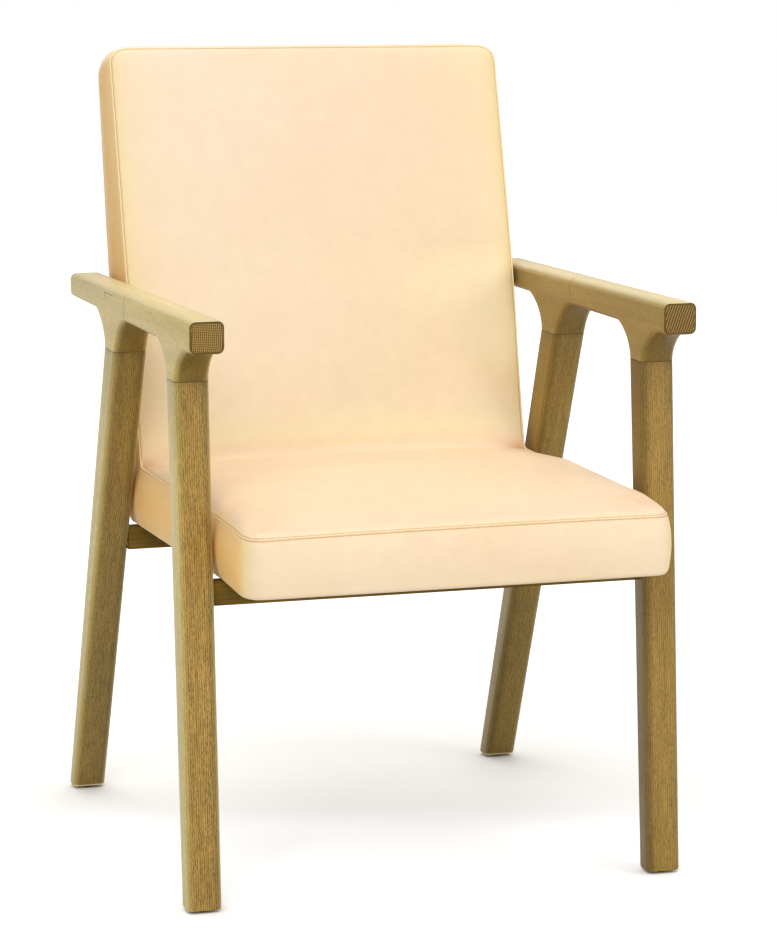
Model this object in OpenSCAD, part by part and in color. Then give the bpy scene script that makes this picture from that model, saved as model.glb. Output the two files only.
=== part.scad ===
// Lounge chair: two flat wooden side frames, two cross rails and an upholstered seat and back.
// The origin is on the floor, under the middle of the chair. The front faces -Y and +Z is up.

/* [Overall] */
// Width over the two side frames
frame_w = 603; // [560:1:760]
// Depth from the front of the seat to the back of the top
depth = 720; // [700:1:760]
// Height of the top edge of the back
back_top_z = 955; // [900:1:1000]

/* [Side frames] */
// Thickness of the wood across the chair
wood_t = 41; // [30:0.5:45]
// Height of the armrest at its front end
arm_front_z = 686; // [660:1:720]
// Height of the armrest at its rear end
arm_rear_z = 674; // [655:1:720]
// Height of the armrest's section at its front end
arm_front_h = 37.5; // [28:0.5:45]
// Height of the armrest's section at its rear end
arm_rear_h = 29.5; // [22:0.5:40]
// Distance of the armrest's front end ahead of the origin
arm_front_y = 302; // [285:1:320]
// Distance of the armrest's rear end behind the origin
arm_rear_y = 305; // [260:1:330]
// Distance of the glue seam in the armrest behind the origin
arm_seam_y = 12; // [0:1:20]

/* [Legs] */
// Distance of the front legs' glue seam below the armrest
front_seam_drop = 39; // [30:0.5:70]
// Distance of the rear legs' glue seam below the armrest
rear_seam_drop = 42; // [34:0.5:70]
// Distance of the middle of the front leg ahead of the origin at its seam
front_top_y = 212; // [200:1:225]
// Distance of the middle of the front foot ahead of the origin
front_foot_y = 258.5; // [230:0.5:280]
// Depth of the front leg at its seam
front_top_d = 43; // [36:0.5:50]
// Depth of the front foot
front_foot_d = 32; // [24:0.5:40]
// Distance of the middle of the rear leg behind the origin at its seam
rear_top_y = 92.5; // [85:0.5:105]
// Distance of the middle of the rear foot behind the origin
rear_foot_y = 339; // [300:1:344]
// Depth of the rear leg at its seam
rear_top_d = 56; // [45:0.5:64]
// Depth of the rear foot
rear_foot_d = 31; // [24:0.5:40]
// Reach of the front leg's front cove along the armrest
front_cove = 52; // [30:1:60]
// Reach of the front leg's rear cove along the armrest
back_cove = 47; // [30:1:80]
// Reach of the rear leg's rear cove along the armrest
tail_cove = 70; // [30:1:80]
// Radius of the glides under the feet
glide_r = 7; // [5:0.5:9]
// Height of the glides under the feet
glide_h = 3; // [2:0.5:5]

/* [Rails] */
// Height of the cross rails
rail_h = 29; // [24:0.5:40]
// Thickness of the cross rails
rail_t = 20; // [16:0.5:24]
// Height of the front rail's top
front_rail_z = 378.5; // [360:0.5:390]
// Height of the rear rail's top
rear_rail_z = 370; // [360:0.5:380]
// Inset of a rail from the inner edge of the leg that carries it
rail_inset = 2; // [0:0.5:4]

/* [Seat] */
// Gap between a side frame and the side seams of the seat and back
cushion_gap = 9.5; // [8:0.5:20]
// Height of the seat's top seam
seat_z = 449; // [435:1:470]
// Rise of the seat's top above its seam
seat_crown = 13; // [4:0.5:14]
// Bulge of the seat's front
front_crown = 4; // [2:0.5:8]
// Bulge of the boxed sides past the side seams
side_crown = 5.5; // [1:0.5:6]
// Distance behind the origin where the back meets the seat's top
fold_y = 147; // [120:1:160]
// Depth of the back where it meets the seat
back_root_d = 76; // [68:0.5:90]
// Distance of the seat's rear lower edge behind the origin
seat_tail_y = 194; // [185:1:200]

/* [Back] */
// Depth of the top of the back
back_top_d = 70; // [60:1:90]
// Height at which the rear of the back bends
bend_z = 671; // [640:1:700]
// Distance of that bend behind the origin
bend_y = 311; // [300:1:318]
// Bulge of the front of the back
back_crown = 6; // [3:0.5:12]
// Thickness of the panel that closes the rear of the back
outer_back_t = 10; // [8:0.5:12]

/* [Hidden] */
SIDES = ["left", "right"];

// Overrun of every cut past the surface that it leaves
over = 1;
// A right angle, and the sides of a round piece
quarter = 90;
round_fn = 48;

// Steps of a cove, and how full each is: 0 is a straight chamfer, 1 a square corner
cove_steps = 10;
front_cove_share = 0.45;
back_cove_share = 0.5;
arch_cove_share = 0.7;
tail_cove_share = 0.35;
// Rounding of the armrest's ends in side view
arm_end_r = 3;

// Dowels: radius, reach into each of the two pieces, and the hole's clearance past each end
dowel_r = 5;
dowel_reach = 22;
dowel_gap = 1;
dowel_share = 0.22;
rail_dowel_r = 4;
rail_dowel_reach = 24;
rail_dowel_share = 0.24;

// Glides: radius and length of the nail, and the bevel of the lower edge
nail_r = 1;
nail_l = 14;
glide_edge = 1;

// Cover and foam between the side seams and the wooden frames, and the clearance inside
cover_t = 9;
// Seat frame: height and width of its members
seat_frame_h = 22;
seat_frame_w = 40;
// Cloth under the seat, and belts: thickness, width and lap on the members
dust_t = 1;
belt_t = 2;
belt_w = 60;
belt_lap = 28;
seat_belts = 5;

// Seat screws: shank, head, reach into the seat frame, depth of the sunk head, and distance from
// the ends of the seat frame's cross members
screw_r = 2;
screw_head_r = 4.5;
screw_head_h = 3;
screw_reach = 16;
screw_sink = 8;
screw_inset = 22;
// Distance of the rear screws ahead of the rear rail's middle, further into the seat frame
rear_screw_shift = 4;

// Back frame: thickness of the stiles, height of the cross members, foam above the stiles
stile_t = 20;
member_h = 50;
stile_top_gap = 24;
back_belt_w = 44;
// Heights of the back's belts as shares of the stretches below and above its bend
low_belt_shares = [0.48, 0.78];
high_belt_shares = [0.19, 0.48];

// Flat steel brackets between the seat frame and the stiles, and their bolts
bracket_t = 3;
bracket_arm = 20;
bracket_foot = 60;
bracket_rise = 80;
bolt_r = 2.5;
bolt_head_r = 5;
bolt_head_h = 3;
bolt_reach = 24;
// Places of the bolts as shares of the bracket's foot and rise
foot_bolt_share = 0.3;
rise_bolt_share = 0.75;

// Corner radii of the cushions in side view, and of the edge along the side seams
seat_top_r = 7;
seat_low_r = 12;
back_top_r = 14;
bend_r = 60;
root_r = 6;
edge_r = 5;
// Points of a rounded corner and of a straight stretch in side view
corner_steps = 3;
side_steps = 8;
// Rings of the rounded edge, of the boxed side, and across the width
edge_steps = 3;
cap_steps = 2;
width_steps = 12;

// A value between a and b at the share t
function between(a, b, t) = a + (b - a) * t;

// The armrest's top and underside at the distance y behind the origin
function arm_share(y) = (y + arm_front_y) / (arm_front_y + arm_rear_y);
function arm_top(y) = between(arm_front_z, arm_rear_z, arm_share(y));
function arm_low(y) = arm_top(y) - between(arm_front_h, arm_rear_h, arm_share(y));

// Middles and half depths of the legs at the height z, up to the seams under the armrest
front_seam_z = arm_low(-front_top_y) - front_seam_drop;
rear_seam_z = arm_low(rear_top_y) - rear_seam_drop;
function leg_share(z, top_z) = (z - glide_h) / (top_z - glide_h);
function front_mid(z) = between(-front_foot_y, -front_top_y, leg_share(z, front_seam_z));
function front_half(z) = between(front_foot_d, front_top_d, leg_share(z, front_seam_z)) / 2;
function rear_mid(z) = between(rear_foot_y, rear_top_y, leg_share(z, rear_seam_z));
function rear_half(z) = between(rear_foot_d, rear_top_d, leg_share(z, rear_seam_z)) / 2;
front_rake = atan((front_foot_y - front_top_y) / (front_seam_z - glide_h));
rear_rake = atan((rear_foot_y - rear_top_y) / (rear_seam_z - glide_h));

// Middles of the frame pieces across the chair, and of the rails in side view
frame_x = (frame_w - wood_t) / 2;
inner_x = frame_w / 2 - wood_t;
front_rail_mid = front_rail_z - rail_h / 2;
rear_rail_mid = rear_rail_z - rail_h / 2;
front_rail_y = front_mid(front_rail_mid) + front_half(front_rail_mid) - rail_inset - rail_t / 2;
rear_rail_y = rear_mid(rear_rail_mid) - rear_half(rear_rail_mid) + rail_inset + rail_t / 2;
rear_screw_y = rear_rail_y - rear_screw_shift;

// The seat stands on a plane through the tops of the rails
rest_slope = (rear_rail_z - front_rail_z) / (rear_rail_y - front_rail_y);
function rest_z(y) = front_rail_z + rest_slope * (y - front_rail_y);

// Side seams, and the side views of the seat and the back
half_w = inner_x - cushion_gap;
seat_front_y = front_crown - depth / 2;
// The rear line's upper corner lies past the depth, so that its rounded edge ends on it
back_lean = atan((depth / 2 - bend_y) / (back_top_z - bend_z));
back_rear_y = depth / 2 + back_top_r * tan((quarter + back_lean) / 2) * sin(back_lean);
root_y = fold_y + back_root_d;
// Share of the seat's top stretch that lies under the back
covered_share = back_root_d / (root_y - seat_front_y);
seat_points = [
    [seat_front_y, seat_z],
    [seat_front_y, rest_z(seat_front_y)],
    [seat_tail_y, rest_z(seat_tail_y)],
    [root_y, seat_z]
];
back_points = [
    [back_rear_y - back_top_d, back_top_z],
    [fold_y, seat_z],
    [root_y, seat_z],
    [bend_y, bend_z],
    [back_rear_y, back_top_z]
];

// The rear line of the seat and back at the height z, moved forward by the distance in
function rear_line(z) =
    z < seat_z ? between(seat_tail_y, root_y, (z - rest_z(seat_tail_y)) / (seat_z - rest_z(seat_tail_y)))
    : z < bend_z ? between(root_y, bend_y, (z - seat_z) / (bend_z - seat_z))
    : between(bend_y, back_rear_y, (z - bend_z) / (back_top_z - bend_z));
// The area between two lines that follow the rear line, over a list of heights
function band(levels, near, far) = concat(
    [for (z = levels) [rear_line(z) - near, z]],
    [for (i = [len(levels) - 1 : -1 : 0]) [rear_line(levels[i]) - far, levels[i]]]
);

// Wooden frames inside the cushions
frame_half = half_w - cover_t;
member_half = frame_half - seat_frame_w;
screw_x = member_half - screw_inset;
frame_front = seat_front_y + seat_low_r;
frame_rear = seat_tail_y - cover_t;
stile_near = outer_back_t;
stile_far = outer_back_t + stile_t;
stile_low_z = rest_z(seat_tail_y) + dust_t;
stile_top_z = back_top_z - stile_top_gap;
stile_front_y = rear_line(stile_low_z) - stile_far;

// A cove from a to b that leans towards the corner c
function cove(a, c, b, share) = [
    for (i = [0 : cove_steps])
        let (t = i / cove_steps, u = 1 - t, near = u * u, mid = 2 * share * t * u, far = t * t)
            (a * near + c * mid + b * far) / (near + mid + far)
];

// Where a leg's edge, from the height z_low to z_high, would meet the armrest's underside
function meeting(y_low, y_high, z_high) =
    let (z = arm_low(y_high), y = y_high + (y_high - y_low) * (z - z_high) / (z_high - glide_h))
        [y, arm_low(y)];

// A rounded end corner of the armrest, from one direction to the next
function end_corner(p, way, from, to) =
    let (mid = p - way * arm_end_r)
        [for (i = [0 : corner_steps])
            let (a = between(from, to, i / corner_steps)) mid + arm_end_r * [cos(a), sin(a)]];

// Outlines of the armrest's two pieces in side view, clockwise from the front end's lower corner
function arm_front_outline() =
    let (
        lead = front_mid(front_seam_z) - front_half(front_seam_z),
        trail = front_mid(front_seam_z) + front_half(front_seam_z),
        c1 = meeting(front_mid(glide_h) - front_half(glide_h), lead, front_seam_z),
        c2 = meeting(front_mid(glide_h) + front_half(glide_h), trail, front_seam_z),
        a1 = c1[0] - front_cove,
        a2 = c2[0] + back_cove
    )
    concat(
        end_corner([-arm_front_y, arm_low(-arm_front_y)], [-1, -1], 3 * quarter, 2 * quarter),
        end_corner([-arm_front_y, arm_top(-arm_front_y)], [-1, 1], 2 * quarter, quarter),
        [[arm_seam_y, arm_top(arm_seam_y)], [arm_seam_y, arm_low(arm_seam_y)]],
        cove([a2, arm_low(a2)], c2, [trail, front_seam_z], back_cove_share),
        cove([lead, front_seam_z], c1, [a1, arm_low(a1)], front_cove_share)
    );

// The same for the rear piece: the cove ahead of the rear leg ends at the armrest's glue seam
function arm_rear_outline() =
    let (
        lead = rear_mid(rear_seam_z) - rear_half(rear_seam_z),
        trail = rear_mid(rear_seam_z) + rear_half(rear_seam_z),
        c1 = meeting(rear_mid(glide_h) - rear_half(glide_h), lead, rear_seam_z),
        c2 = meeting(rear_mid(glide_h) + rear_half(glide_h), trail, rear_seam_z),
        a1 = arm_seam_y + over,
        a2 = c2[0] + tail_cove
    )
    concat(
        [[arm_seam_y, arm_low(arm_seam_y)], [arm_seam_y, arm_top(arm_seam_y)]],
        end_corner([arm_rear_y, arm_top(arm_rear_y)], [1, 1], quarter, 0),
        end_corner([arm_rear_y, arm_low(arm_rear_y)], [1, -1], 0, -quarter),
        cove([a2, arm_low(a2)], c2, [trail, rear_seam_z], tail_cove_share),
        cove([lead, rear_seam_z], c1, [a1, arm_low(a1)], arch_cove_share)
    );
// Outline of a leg from its seam down to the glide
function leg_outline(mid_low, half_low, mid_high, half_high, seam_z) = [
    [mid_low - half_low, glide_h], [mid_low + half_low, glide_h],
    [mid_high + half_high, seam_z], [mid_high - half_high, seam_z]
];

// A piece of even thickness from its side view, with its middle at the distance x
module board(points, x, t) {
    translate([x - t / 2, 0, 0])
        rotate([quarter, 0, quarter])
            linear_extrude(t)
                polygon(points);
}

// A round pin that reaches as far to both sides of a seam
module pin(at, turn, r, reach, gap) {
    translate(at)
        rotate(turn)
            translate([0, 0, -reach - gap])
                cylinder(r = r, h = 2 * (reach + gap), $fn = round_fn);
}

// The pairs of dowels of one side, or with a gap the holes that hold them
module arm_pins(side, gap = 0) {
    mid = (arm_top(arm_seam_y) + arm_low(arm_seam_y)) / 2;
    for (s = [-1, 1])
        pin([side * frame_x + s * wood_t * dowel_share, arm_seam_y, mid],
            [quarter, 0, 0], dowel_r, dowel_reach, gap);
}
module front_leg_pins(side, gap = 0) {
    for (s = [-1, 1])
        pin([side * frame_x, front_mid(front_seam_z) + s * front_top_d * dowel_share, front_seam_z],
            [-front_rake, 0, 0], dowel_r, dowel_reach, gap);
}
module rear_leg_pins(side, gap = 0) {
    for (s = [-1, 1])
        pin([side * frame_x, rear_mid(rear_seam_z) + s * rear_top_d * dowel_share, rear_seam_z],
            [rear_rake, 0, 0], dowel_r, dowel_reach, gap);
}
module rail_pins(side, y, mid, gap = 0) {
    for (s = [-1, 1])
        pin([side * inner_x, y, mid + s * rail_h * rail_dowel_share],
            [0, quarter, 0], rail_dowel_r, rail_dowel_reach, gap);
}
module dowels() {
    color([0.78, 0.66, 0.46])
        children();
}

// Wooden pieces of one side frame
module arm_front(side) {
    color([0.52, 0.43, 0.24])
        difference() {
            board(arm_front_outline(), side * frame_x, wood_t);
            arm_pins(side, dowel_gap);
            front_leg_pins(side, dowel_gap);
        }
}
module arm_rear(side) {
    color([0.54, 0.45, 0.26])
        difference() {
            board(arm_rear_outline(), side * frame_x, wood_t);
            arm_pins(side, dowel_gap);
            rear_leg_pins(side, dowel_gap);
        }
}
module leg_front(side) {
    outline = leg_outline(front_mid(glide_h), front_half(glide_h),
        front_mid(front_seam_z), front_half(front_seam_z), front_seam_z);
    color([0.5, 0.4, 0.22])
        difference() {
            board(outline, side * frame_x, wood_t);
            front_leg_pins(side, dowel_gap);
            rail_pins(side, front_rail_y, front_rail_mid, dowel_gap);
            nail(side, front_mid(glide_h));
        }
}
module leg_rear(side) {
    outline = leg_outline(rear_mid(glide_h), rear_half(glide_h),
        rear_mid(rear_seam_z), rear_half(rear_seam_z), rear_seam_z);
    color([0.48, 0.39, 0.21])
        difference() {
            board(outline, side * frame_x, wood_t);
            rear_leg_pins(side, dowel_gap);
            rail_pins(side, rear_rail_y, rear_rail_mid, dowel_gap);
            nail(side, rear_mid(glide_h));
        }
}

// Glides: a bevelled disc with a nail that is driven into the foot
module nail(side, y) {
    translate([side * frame_x, y, glide_h])
        cylinder(r = nail_r, h = nail_l, $fn = round_fn);
}
module glide(side, y) {
    color([0.12, 0.11, 0.1]) {
        translate([side * frame_x, y, 0])
            rotate_extrude($fn = round_fn)
                polygon([
                    [0, 0], [glide_r - glide_edge, 0], [glide_r, glide_edge],
                    [glide_r, glide_h], [0, glide_h]
                ]);
        nail(side, y);
    }
}

// Cross rails, bevelled to the seat's plane, with holes for the dowels and the seat screws
module rail(y, top, mid, screw_y) {
    ends = [y - rail_t / 2, y + rail_t / 2];
    outline = [
        [ends[0], top - rail_h], [ends[1], top - rail_h],
        [ends[1], rest_z(ends[1])], [ends[0], rest_z(ends[0])]
    ];
    color([0.42, 0.34, 0.18])
        difference() {
            board(outline, 0, 2 * inner_x);
            for (side = [-1, 1]) {
                rail_pins(side, y, mid, dowel_gap);
                translate([side * screw_x, screw_y, top - rail_h - over])
                    cylinder(r = screw_head_r, h = screw_sink + over, $fn = round_fn);
                seat_screw(side, screw_y, top);
            }
        }
}

// Screws up through a rail into the seat frame
module seat_screw(side, y, top, gap = 0) {
    color([0.55, 0.55, 0.57])
        translate([side * screw_x, y, top - rail_h + screw_sink]) {
            translate([0, 0, -screw_head_h])
                cylinder(r = screw_head_r, h = screw_head_h, $fn = round_fn);
            cylinder(r = screw_r, h = rail_h - screw_sink + dust_t + screw_reach + gap, $fn = round_fn);
        }
}
module all_seat_screws(gap = 0) {
    for (side = [-1, 1]) {
        seat_screw(side, front_rail_y, front_rail_z, gap);
        seat_screw(side, rear_screw_y, rear_rail_z, gap);
    }
}

// The area of the seat's plane from y0 to y1, between two levels above the plane
function on_rest(y0, y1, low, high) = [
    [y0, rest_z(y0) + low], [y1, rest_z(y1) + low],
    [y1, rest_z(y1) + high], [y0, rest_z(y0) + high]
];

// Seat frame: cross members between the side members and the brackets
module seat_frame_cross(rear) {
    y = rear ? frame_rear - seat_frame_w : frame_front;
    reach = member_half - (rear ? bracket_t : 0);
    color([0.82, 0.7, 0.5])
        difference() {
            board(on_rest(y, y + seat_frame_w, dust_t, dust_t + seat_frame_h), 0, 2 * reach);
            all_seat_screws(dowel_gap);
        }
}
module seat_frame_side(side) {
    color([0.8, 0.68, 0.48])
        difference() {
            board(on_rest(frame_front, stile_front_y, dust_t, dust_t + seat_frame_h),
                side * (member_half + seat_frame_w / 2), seat_frame_w);
            seat_bolt(side, dowel_gap);
        }
}
module seat_belt(i) {
    pitch = 2 * member_half / seat_belts;
    level = dust_t + seat_frame_h;
    color([0.2, 0.2, 0.22])
        board(on_rest(frame_front + seat_frame_w - belt_lap, frame_rear - seat_frame_w + belt_lap,
            level, level + belt_t), pitch * (i - (seat_belts + 1) / 2), belt_w);
}
module dust_cover() {
    color([0.15, 0.15, 0.16])
        difference() {
            board(on_rest(frame_front, frame_rear, 0, dust_t), 0, 2 * frame_half);
            all_seat_screws();
        }
}

// Back frame: stiles that stand in the seat frame, two cross members and the belts across
module back_stile(side) {
    low = stile_low_z;
    lean = dust_t + rest_z(stile_front_y) - low;
    outline = concat(
        [[rear_line(low) - stile_far, low + lean], [rear_line(low) - stile_near, low]],
        [for (z = [seat_z, bend_z, stile_top_z]) [rear_line(z) - stile_near, z]],
        [for (z = [stile_top_z, bend_z, seat_z]) [rear_line(z) - stile_far, z]]
    );
    color([0.8, 0.68, 0.48])
        difference() {
            board(outline, side * (member_half + seat_frame_w / 2), seat_frame_w);
            stile_bolt(side, dowel_gap);
        }
}
module back_member(low, high) {
    color([0.82, 0.7, 0.5])
        board(band([low, high], stile_near, stile_far), 0, 2 * (member_half - bracket_t));
}
back_belt_z = concat(
    [for (share = low_belt_shares) between(seat_z, bend_z, share)],
    [for (share = high_belt_shares) between(bend_z, stile_top_z, share)]
);
module back_belt(mid) {
    color([0.2, 0.2, 0.22])
        board(band([mid - back_belt_w / 2, mid + back_belt_w / 2], stile_far, stile_far + belt_t),
            0, 2 * (member_half + belt_lap));
}

// Flat steel bracket against the inner faces of a stile and a side member of the seat frame
bracket_low_z = stile_low_z + over;
bracket_x = member_half - bracket_t / 2;
foot_bolt_y = stile_front_y - bracket_foot * (1 - foot_bolt_share);
foot_bolt_z = rest_z(foot_bolt_y) + dust_t + seat_frame_h / 2;
rise_bolt_z = bracket_low_z + bracket_rise * rise_bolt_share;
rise_bolt_y = rear_line(rise_bolt_z) - (stile_near + stile_far) / 2;
module bracket(side) {
    foot = stile_front_y - bracket_foot;
    top = bracket_low_z + bracket_rise;
    knee = bracket_low_z + bracket_arm;
    color([0.35, 0.36, 0.38])
        difference() {
            board([
                [foot, rest_z(foot) + dust_t + over], [rear_line(bracket_low_z) - stile_near, bracket_low_z],
                [rear_line(seat_z) - stile_near, seat_z], [rear_line(top) - stile_near, top],
                [rear_line(top) - stile_far, top], [rear_line(seat_z) - stile_far, seat_z],
                [rear_line(knee) - stile_far, knee], [foot, rest_z(foot) + dust_t + over + bracket_arm]
            ], side * bracket_x, bracket_t);
            seat_bolt(side);
            stile_bolt(side);
        }
}
// Bolts that point outwards, with their heads on the bracket's inner face
module bolt(side, y, z, gap) {
    color([0.55, 0.55, 0.57])
        translate([side * (member_half - bracket_t), y, z])
            rotate([0, side * quarter, 0]) {
                translate([0, 0, -bolt_head_h])
                    cylinder(r = bolt_head_r, h = bolt_head_h, $fn = round_fn);
                cylinder(r = bolt_r, h = bracket_t + bolt_reach + gap, $fn = round_fn);
            }
}
module seat_bolt(side, gap = 0) {
    bolt(side, foot_bolt_y, foot_bolt_z, gap);
}
module stile_bolt(side, gap = 0) {
    bolt(side, rise_bolt_y, rise_bolt_z, gap);
}

// Rounded corner of a side view around b, as points with their outward normals and no crown.
// The outline runs anticlockwise.
function unit(v) = v / norm(v);
function outward(a, b) = let (d = unit(b - a)) [d[1], -d[0]];
function corner(a, b, c, r) =
    let (
        n1 = outward(a, b),
        n2 = outward(b, c),
        mid = b - (n1 + n2) * r / (1 + n1 * n2),
        start = atan2(n1[1], n1[0]),
        turn = acos(n1 * n2)
    )
    [for (i = [0 : corner_steps])
        let (angle = start + turn * i / corner_steps, n = [cos(angle), sin(angle)])
            [mid + n * r, n, 0]];

// The crown along a stretch, none over the share that another piece covers
function swell(t, covered) =
    let (u = (t - covered) / (1 - covered)) u <= 0 ? 0 : 4 * u * (1 - u);

// A whole side view: rounded corners, and between them stretches that carry the crown
function profile(pts, radii, crowns, covered) =
    let (
        n = len(pts),
        arcs = [for (i = [0 : n - 1]) corner(pts[(i + n - 1) % n], pts[i], pts[(i + 1) % n], radii[i])]
    )
    [for (i = [0 : n - 1])
        let (from = arcs[i][corner_steps][0], to = arcs[(i + 1) % n][0][0], normal = outward(from, to))
            each concat(arcs[i], [for (k = [1 : side_steps - 1])
                let (t = k / side_steps)
                    [between(from, to, t), normal, crowns[i] * swell(t, covered[i])]])];

// One ring of a cushion: the side view moved out by a share of its crown and in by the inset
function ring(prof, x, crown_share, inset) = [
    for (p = prof) let (q = p[0] + p[1] * (p[2] * crown_share - inset)) [x, q[0], q[1]]
];
function mean(list) = list * [for (v = list) 1] / len(list);
function centre(prof) = [mean([for (p = prof) p[0][0]]), mean([for (p = prof) p[0][1]])];

// Rings across the width, round the edge along a side seam, and over the boxed side
function width_rings(prof) = [for (i = [0 : width_steps])
    let (s = 2 * i / width_steps - 1) ring(prof, s * (half_w - edge_r), 1 - s * s * s * s, 0)];
function edge_rings(prof) = [for (i = [1 : edge_steps])
    let (a = quarter * i / edge_steps)
        ring(prof, half_w - edge_r * (1 - sin(a)), 0, edge_r * (1 - cos(a)))];
function cap_rings(prof) =
    let (last = ring(prof, half_w, 0, edge_r), c = centre(prof))
    [for (i = [1 : cap_steps])
        let (q = 1 - i / (cap_steps + 1))
            [for (p = last)
                [half_w + side_crown * (1 - q * q), between(c[0], p[1], q), between(c[1], p[2], q)]]];
function mirrored(rings) = [for (i = [len(rings) - 1 : -1 : 0])
    [for (p = rings[i]) [-p[0], p[1], p[2]]]];

// A closed cushion form from its side view
module cushion_form(pts, radii, crowns, covered) {
    prof = profile(pts, radii, crowns, covered);
    outer = concat(edge_rings(prof), cap_rings(prof));
    rings = concat(mirrored(outer), width_rings(prof), outer);
    n = len(prof);
    m = len(rings);
    c = centre(prof);
    tips = [[-half_w - side_crown, c[0], c[1]], [half_w + side_crown, c[0], c[1]]];
    sides = [for (j = [0 : m - 2], i = [0 : n - 1])
        let (k = (i + 1) % n, a = j * n + i, b = j * n + k)
            each [[a, a + n, b], [b, a + n, b + n]]];
    ends = [for (i = [0 : n - 1])
        let (k = (i + 1) % n)
            each [[m * n, i, k], [m * n + 1, (m - 1) * n + k, (m - 1) * n + i]]];
    points = concat([for (r = rings) each r], tips);
    polyhedron(points = points, faces = concat(sides, ends), convexity = 4);
}
module seat_form() {
    cushion_form(seat_points, [seat_top_r, seat_low_r, seat_low_r, root_r],
        [front_crown, 0, 0, seat_crown], [0, 0, 0, covered_share]);
}
module back_form() {
    cushion_form(back_points, [back_top_r, root_r, root_r, bend_r, back_top_r],
        [back_crown, 0, 0, 0, 0], [0, 0, 0, 0, 0]);
}

// Seat cushion: the form without the room for the seat frame, the belts, the stiles and the brackets
module seat_cushion() {
    side_w = seat_frame_w + bracket_t;
    level = dust_t + seat_frame_h + belt_t;
    color([0.95, 0.82, 0.62])
        difference() {
            seat_form();
            board(on_rest(frame_front, frame_rear, -over, level), 0, 2 * frame_half);
            for (side = [-1, 1]) {
                board(band([stile_low_z, seat_z, seat_z + over], stile_near, stile_far),
                    side * (frame_half - side_w / 2), side_w);
                bolt_room(side);
            }
        }
}
// Room in the foam around the head of the upper bolt
module bolt_room(side) {
    translate([side * (member_half - bracket_t - bolt_head_h / 2), rise_bolt_y, rise_bolt_z])
        rotate([0, quarter, 0])
            cylinder(r = bolt_head_r, h = bolt_head_h, center = true, $fn = round_fn);
}

// Back cushion: the form in front of the rear panel, without the room for the back frame
module rear_slab() {
    levels = [seat_z - over, bend_z, back_top_z + over];
    board(band(levels, -over - bend_r, outer_back_t), 0, 2 * (half_w + side_crown + over));
}
module back_cushion() {
    levels = [seat_z - over, bend_z, stile_top_z];
    color([0.96, 0.84, 0.65])
        difference() {
            back_form();
            rear_slab();
            board(band(levels, stile_near - over, stile_far + belt_t), 0, 2 * frame_half);
        }
}
module outer_back() {
    color([0.9, 0.76, 0.55])
        intersection() {
            back_form();
            rear_slab();
        }
}

// Draws its children when the whole chair or the named node is wanted
module part(name) {
    children();
}

for (i = [0, 1]) {
    side = 2 * i - 1;
    hand = SIDES[i];
    part(str("arm_front_", hand)) arm_front(side);
    part(str("arm_rear_", hand)) arm_rear(side);
    part(str("leg_front_", hand)) leg_front(side);
    part(str("leg_rear_", hand)) leg_rear(side);
    part(str("arm_dowels_", hand)) dowels() arm_pins(side);
    part(str("front_leg_dowels_", hand)) dowels() front_leg_pins(side);
    part(str("rear_leg_dowels_", hand)) dowels() rear_leg_pins(side);
    part(str("glide_front_", hand)) glide(side, front_mid(glide_h));
    part(str("glide_rear_", hand)) glide(side, rear_mid(glide_h));
    part(str("front_rail_dowels_", hand)) dowels() rail_pins(side, front_rail_y, front_rail_mid);
    part(str("rear_rail_dowels_", hand)) dowels() rail_pins(side, rear_rail_y, rear_rail_mid);
    part(str("seat_screw_front_", hand)) seat_screw(side, front_rail_y, front_rail_z);
    part(str("seat_screw_rear_", hand)) seat_screw(side, rear_screw_y, rear_rail_z);
    part(str("seat_frame_", hand)) seat_frame_side(side);
    part(str("back_stile_", hand)) back_stile(side);
    part(str("bracket_", hand)) bracket(side);
    part(str("seat_bolt_", hand)) seat_bolt(side);
    part(str("stile_bolt_", hand)) stile_bolt(side);
}
part("rail_front") rail(front_rail_y, front_rail_z, front_rail_mid, front_rail_y);
part("rail_rear") rail(rear_rail_y, rear_rail_z, rear_rail_mid, rear_screw_y);
part("seat_frame_front") seat_frame_cross(false);
part("seat_frame_rear") seat_frame_cross(true);
for (i = [1 : seat_belts])
    part(str("seat_belt_", i)) seat_belt(i);
part("dust_cover") dust_cover();
part("seat_cushion") seat_cushion();
part("back_frame_top") back_member(stile_top_z - member_h, stile_top_z);
part("back_frame_bottom") back_member(seat_z, seat_z + member_h);
for (i = [1 : len(back_belt_z)])
    part(str("back_belt_", i)) back_belt(back_belt_z[i - 1]);
part("back_cushion") back_cushion();
part("outer_back") outer_back();
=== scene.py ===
# %% [markdown]
# # A lounge chair with a wooden frame and a tight leather seat
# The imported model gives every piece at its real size, in metres, with the floor at z = 0, the front
# towards -Y and the left side frame at negative x. This script dresses that model: it rounds the
# wood, sews the upholstery and sets up the photograph's camera and light.

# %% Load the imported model
import math
import bmesh
import bpy
import numpy as np
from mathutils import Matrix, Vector
from mathutils.kdtree import KDTree


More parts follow.
